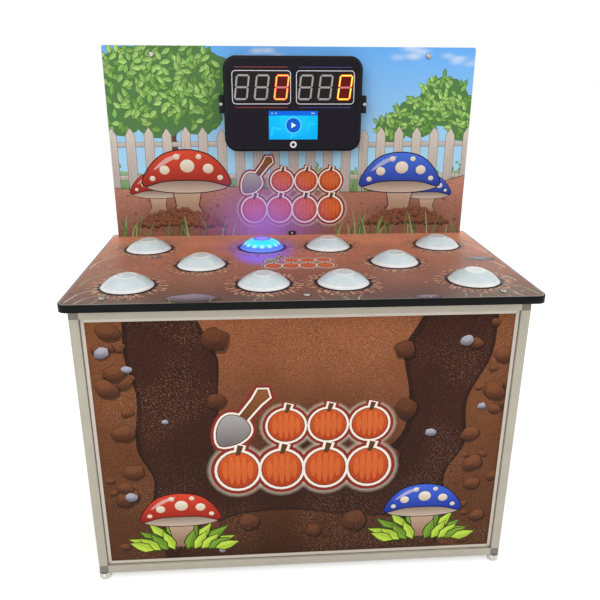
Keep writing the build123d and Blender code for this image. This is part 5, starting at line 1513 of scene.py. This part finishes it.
def raised(name, outlines, front, depth, material):
    """Thin raised areas on an upright face: each outline is drawn to its X and Z."""
    shape = bmesh.new()
    for outline in outlines:
        outer = [shape.verts.new((x, front, z)) for x, z in outline]
        back = [shape.verts.new((x, front + depth, z)) for x, z in outline]
        shape.faces.new(outer)
        shape.faces.new(back[::-1])
        for k in range(len(outline)):
            after = (k + 1) % len(outline)
            shape.faces.new((outer[k], back[k], back[after], outer[after]))
    bmesh.ops.recalc_face_normals(shape, faces=shape.faces)
    mesh = bpy.data.meshes.new(name)
    shape.to_mesh(mesh)
    shape.free()
    return add_piece(name, mesh, "scoreboard", (), (material,))


def ring_strips(width, height, radius, line, x, z):
    """A rounded frame line as short closed bands, one after the other round it."""
    outer = [(px + x, py + z) for px, py in rounded_sheet(width, height, radius)]
    inside = rounded_sheet(width - 2 * line, height - 2 * line, radius - line)
    inner = [(px + x, py + z) for px, py in inside]
    count = len(outer)
    return [[outer[k], outer[(k + 1) % count], inner[(k + 1) % count], inner[k]] for k in range(count)]


case_low, case_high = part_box("scoreboard_case")
case_middle_z = (case_low.z + case_high.z) / 2
fascia_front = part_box("scoreboard_fascia")[0].y
display_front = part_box("left_score_display")[0].y
ink_depth = 0.0003
white_ink = finish("white_ink", tint(236, 232, 238), 0.4, 0.0, 0.03, 600.0)
red_ink = finish("red_ink", tint(150, 52, 44), 0.4, 0.0, 0.03, 600.0)
blue_ink = finish("blue_ink", tint(62, 58, 132), 0.4, 0.0, 0.03, 600.0)
frame_width = 0.1797
frame_height = 0.0985
frame_corner = 0.0115
frame_line = 0.002
frame_z = case_middle_z + 0.05
frame_lines = []
for frame_x in (-0.0975, 0.098):
    frame_lines += ring_strips(frame_width, frame_height, frame_corner, frame_line, frame_x, frame_z)
raised("display_frame_lines", frame_lines, fascia_front - ink_depth, ink_depth, white_ink)


line_thickness = 0.0018
upper_line_z = case_middle_z + 0.1085
lower_line_z = case_middle_z - 0.0088


def bar(x0, x1, z):
    """A level line's outline between two places across."""
    return [(x0, z - line_thickness / 2), (x1, z - line_thickness / 2), (x1, z + line_thickness / 2),
            (x0, z + line_thickness / 2)]


for ink_name, ink, line_from, line_to in (("red_lines", red_ink, -0.1785, -0.0177),
                                          ("blue_lines", blue_ink, 0.0167, 0.1785)):
    lines = [bar(line_from, line_to, upper_line_z), bar(line_from, line_to, lower_line_z)]
    raised(ink_name, lines, fascia_front - ink_depth, ink_depth, ink)

digit_height = 0.0743
digit_width = 0.042
digit_pitch = 0.0605
digit_lean = 0.12
stroke = 0.0054
gap = 0.0009


def segment_outline(part, x, z):
    """One of a digit's seven bars, with pointed ends, leaning with the digit."""
    half_w, half_h = (digit_width - stroke) / 2, (digit_height - stroke) / 2
    ends = {
        "top": ((-half_w, half_h), (half_w, half_h)), "middle": ((-half_w, 0), (half_w, 0)),
        "foot": ((-half_w, -half_h), (half_w, -half_h)), "upper_left": ((-half_w, 0), (-half_w, half_h)),
        "upper_right": ((half_w, 0), (half_w, half_h)), "lower_left": ((-half_w, -half_h), (-half_w, 0)),
        "lower_right": ((half_w, -half_h), (half_w, 0)),
    }
    (x0, z0), (x1, z1) = ends[part]
    start, end = Vector((x0, z0)), Vector((x1, z1))
    along = (end - start).normalized()
    across = Vector((-along.y, along.x)) * stroke / 2
    start, end = start + along * gap, end - along * gap
    tip = stroke / 2
    corners = [start, start + along * tip - across, end - along * tip - across, end,
               end - along * tip + across, start + along * tip + across]
    return [(x + c.x + c.y * digit_lean, z + c.y) for c in corners]


segment_names = ("top", "middle", "foot", "upper_left", "upper_right", "lower_left", "lower_right")
dim_segment = finish("unlit_segment", tint(166, 160, 162), 0.5, 0.0, 0.04, 500.0)
digit_z = case_middle_z + 0.0503
digit_groups = (
    ("left", -0.0966, tint(255, 112, 52), tint(255, 176, 96), tint(84, 20, 14)),
    ("right", 0.0985, tint(255, 132, 24), tint(255, 226, 96), tint(92, 16, 10)),
)


def lit_ink(name, light, strength):
    """Ink in front of a lamp: it gives its own colour of light."""
    material = finish(name, light, 0.5, 0.0, 0.04, 500.0, specular=0.1)
    shader = material.node_tree.nodes["Principled BSDF"]
    shader.inputs["Emission Color"].default_value = light
    shader.inputs["Emission Strength"].default_value = strength
    return material


def slimmed(outline, share):
    """The outline drawn in towards its own middle line, across its length."""
    ends = Vector(outline[0]), Vector(outline[3])
    slim = []
    for corner in (Vector(point) for point in outline):
        line = ends[1] - ends[0]
        foot_point = ends[0] + line * ((corner - ends[0]).dot(line) / line.dot(line))
        slim.append(tuple(foot_point + (corner - foot_point) * share))
    return slim


for group_name, group_x, edge_light, core_light, halo_light in digit_groups:
    dim_outlines = []
    for place in range(2):
        for part in segment_names:
            dim_outlines.append(segment_outline(part, group_x + (place - 1) * digit_pitch, digit_z))
    last_x = group_x + digit_pitch
    lit_outlines = [segment_outline(part, last_x, digit_z) for part in segment_names if part != "middle"]
    raised(f"{group_name}_unlit_segments", dim_outlines, display_front - ink_depth, ink_depth, dim_segment)
    halo = rounded_sheet(digit_width * 1.12, digit_height * 1.05, 0.006)
    raised(f"{group_name}_halo", [[(last_x + px + py * digit_lean, digit_z + py) for px, py in halo]],
           display_front - ink_depth, ink_depth, lit_ink(f"{group_name}_halo", halo_light, 0.22))
    raised(f"{group_name}_middle_segment", [segment_outline("middle", last_x, digit_z)],
           display_front - 2 * ink_depth, ink_depth,
           lit_ink(f"{group_name}_middle_segment", tint(196, 110, 112), 0.4))
    raised(f"{group_name}_lit_segments", lit_outlines, display_front - 2 * ink_depth, ink_depth,
           lit_ink(f"{group_name}_lit_segment", edge_light, 0.95))
    raised(f"{group_name}_lit_cores", [slimmed(outline, 0.45) for outline in lit_outlines],
           display_front - 3 * ink_depth, ink_depth, lit_ink(f"{group_name}_lit_core", core_light, 1.0))
reset_z = case_middle_z - 0.1205
reset_radius = 0.0105
reset_dot_radius = 0.0052
button_ring = [(px, reset_z + py) for px, py in oval(0, 0, reset_radius, reset_radius, 32)]
raised("reset_ring", [button_ring], fascia_front - ink_depth, ink_depth, white_ink)
button_dot = [(px, reset_z + py) for px, py in oval(0, 0, reset_dot_radius, reset_dot_radius, 24)]
raised("reset_dot", [button_dot], fascia_front - 2 * ink_depth, ink_depth, fascia_plastic)


# Touch screen: a 7 inch panel behind the fascia, which shows a plain start page.
# Its picture is blue with a round start button; a darker bar lies along the top.
screen_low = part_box("touch_screen")[0]
screen_width, screen_height = 0.152, 0.0857
screen_z = case_middle_z - 0.0618
screen_drawing = Drawing(rounded_sheet(screen_width, screen_height, 0.0),
                         upright_fade(tint(0, 196, 252), tint(0, 176, 250), 0.04, -0.04), 0.0)
add_glow(screen_drawing, 0.0, 0.0, 0.075, 0.05, tint(40, 214, 255), 0.8)
for arrow_x, arrow_y, arrow_size in ((-0.055, -0.02, 0.02), (0.056, -0.004, 0.016), (0.0, -0.038, 0.013),
                                     (-0.03, 0.02, 0.012)):
    chevron = placed([(-1, 0), (0, 1), (1, 0), (0.8, -0.25), (0, 0.55), (-0.8, -0.25)], arrow_x, arrow_y,
                     arrow_size, radians(35))
    screen_drawing.add(chevron, tint(50, 226, 255), 0.5)
bar_height = 0.0137
screen_drawing.add([(-screen_width / 2, screen_height / 2 - bar_height),
                    (screen_width / 2, screen_height / 2 - bar_height),
                    (screen_width / 2, screen_height / 2), (-screen_width / 2, screen_height / 2)],
                   tint(10, 104, 226))
start_rim, start_radius = 0.0245, 0.022
screen_drawing.add(oval(0, 0, start_rim, start_rim, 32), tint(120, 220, 255), 0.8)
screen_drawing.add(oval(0, 0, start_radius, start_radius, 32), tint(6, 92, 208))
screen_drawing.add([(-0.006, -0.0085), (0.009, 0.0), (-0.006, 0.0085)], tint(250, 252, 255))
for dot_x in (-0.066, -0.054, 0.058, 0.064):
    screen_drawing.add(oval(dot_x, screen_height / 2 - bar_height / 2, 0.0022, 0.0022, 12),
                       tint(180, 220, 250))
screen_place = Matrix.Translation((0.0, screen_low.y - ink_depth / 2, screen_z)) @ upright
screen_light = bpy.data.materials.new("screen_picture")
screen_light.use_nodes = True
light_tree = screen_light.node_tree
light_shader = light_tree.nodes["Principled BSDF"]
light_shader.inputs["Roughness"].default_value = 0.3
light_shader.inputs["Specular IOR Level"].default_value = 0.1
light_shader.inputs["Emission Strength"].default_value = 0.9
picture = add_node(light_tree, "ShaderNodeAttribute", {"attribute_name": "Print"})
picture_dim = add_node(light_tree, "ShaderNodeVectorMath", {"operation": "SCALE"})
picture_dim.inputs["Scale"].default_value = 0.12
join(light_tree, picture.outputs["Color"], light_shader.inputs["Emission Color"])
join(light_tree, picture.outputs["Color"], picture_dim.inputs[0])
join(light_tree, picture_dim.outputs[0], light_shader.inputs["Base Color"])
screen_mesh = painted_panel("screen_picture", screen_drawing, ink_depth, screen_place, tint(4, 60, 90))
add_piece("screen_picture", screen_mesh, "scoreboard", (), (screen_light,))


# Control box: a folded steel tray behind the rear panel, with the power inlet beside it.
# The tray has a grey powder coat, and the inlet is black plastic with three flat pins.
repaint("control_box", finish("grey_powder_coat", tint(120, 122, 124), 0.5, 0.0, 0.08, 500.0))
repaint("power_inlet", finish("inlet_plastic", tint(28, 28, 29), 0.4, 0.0, 0.1, 600.0))
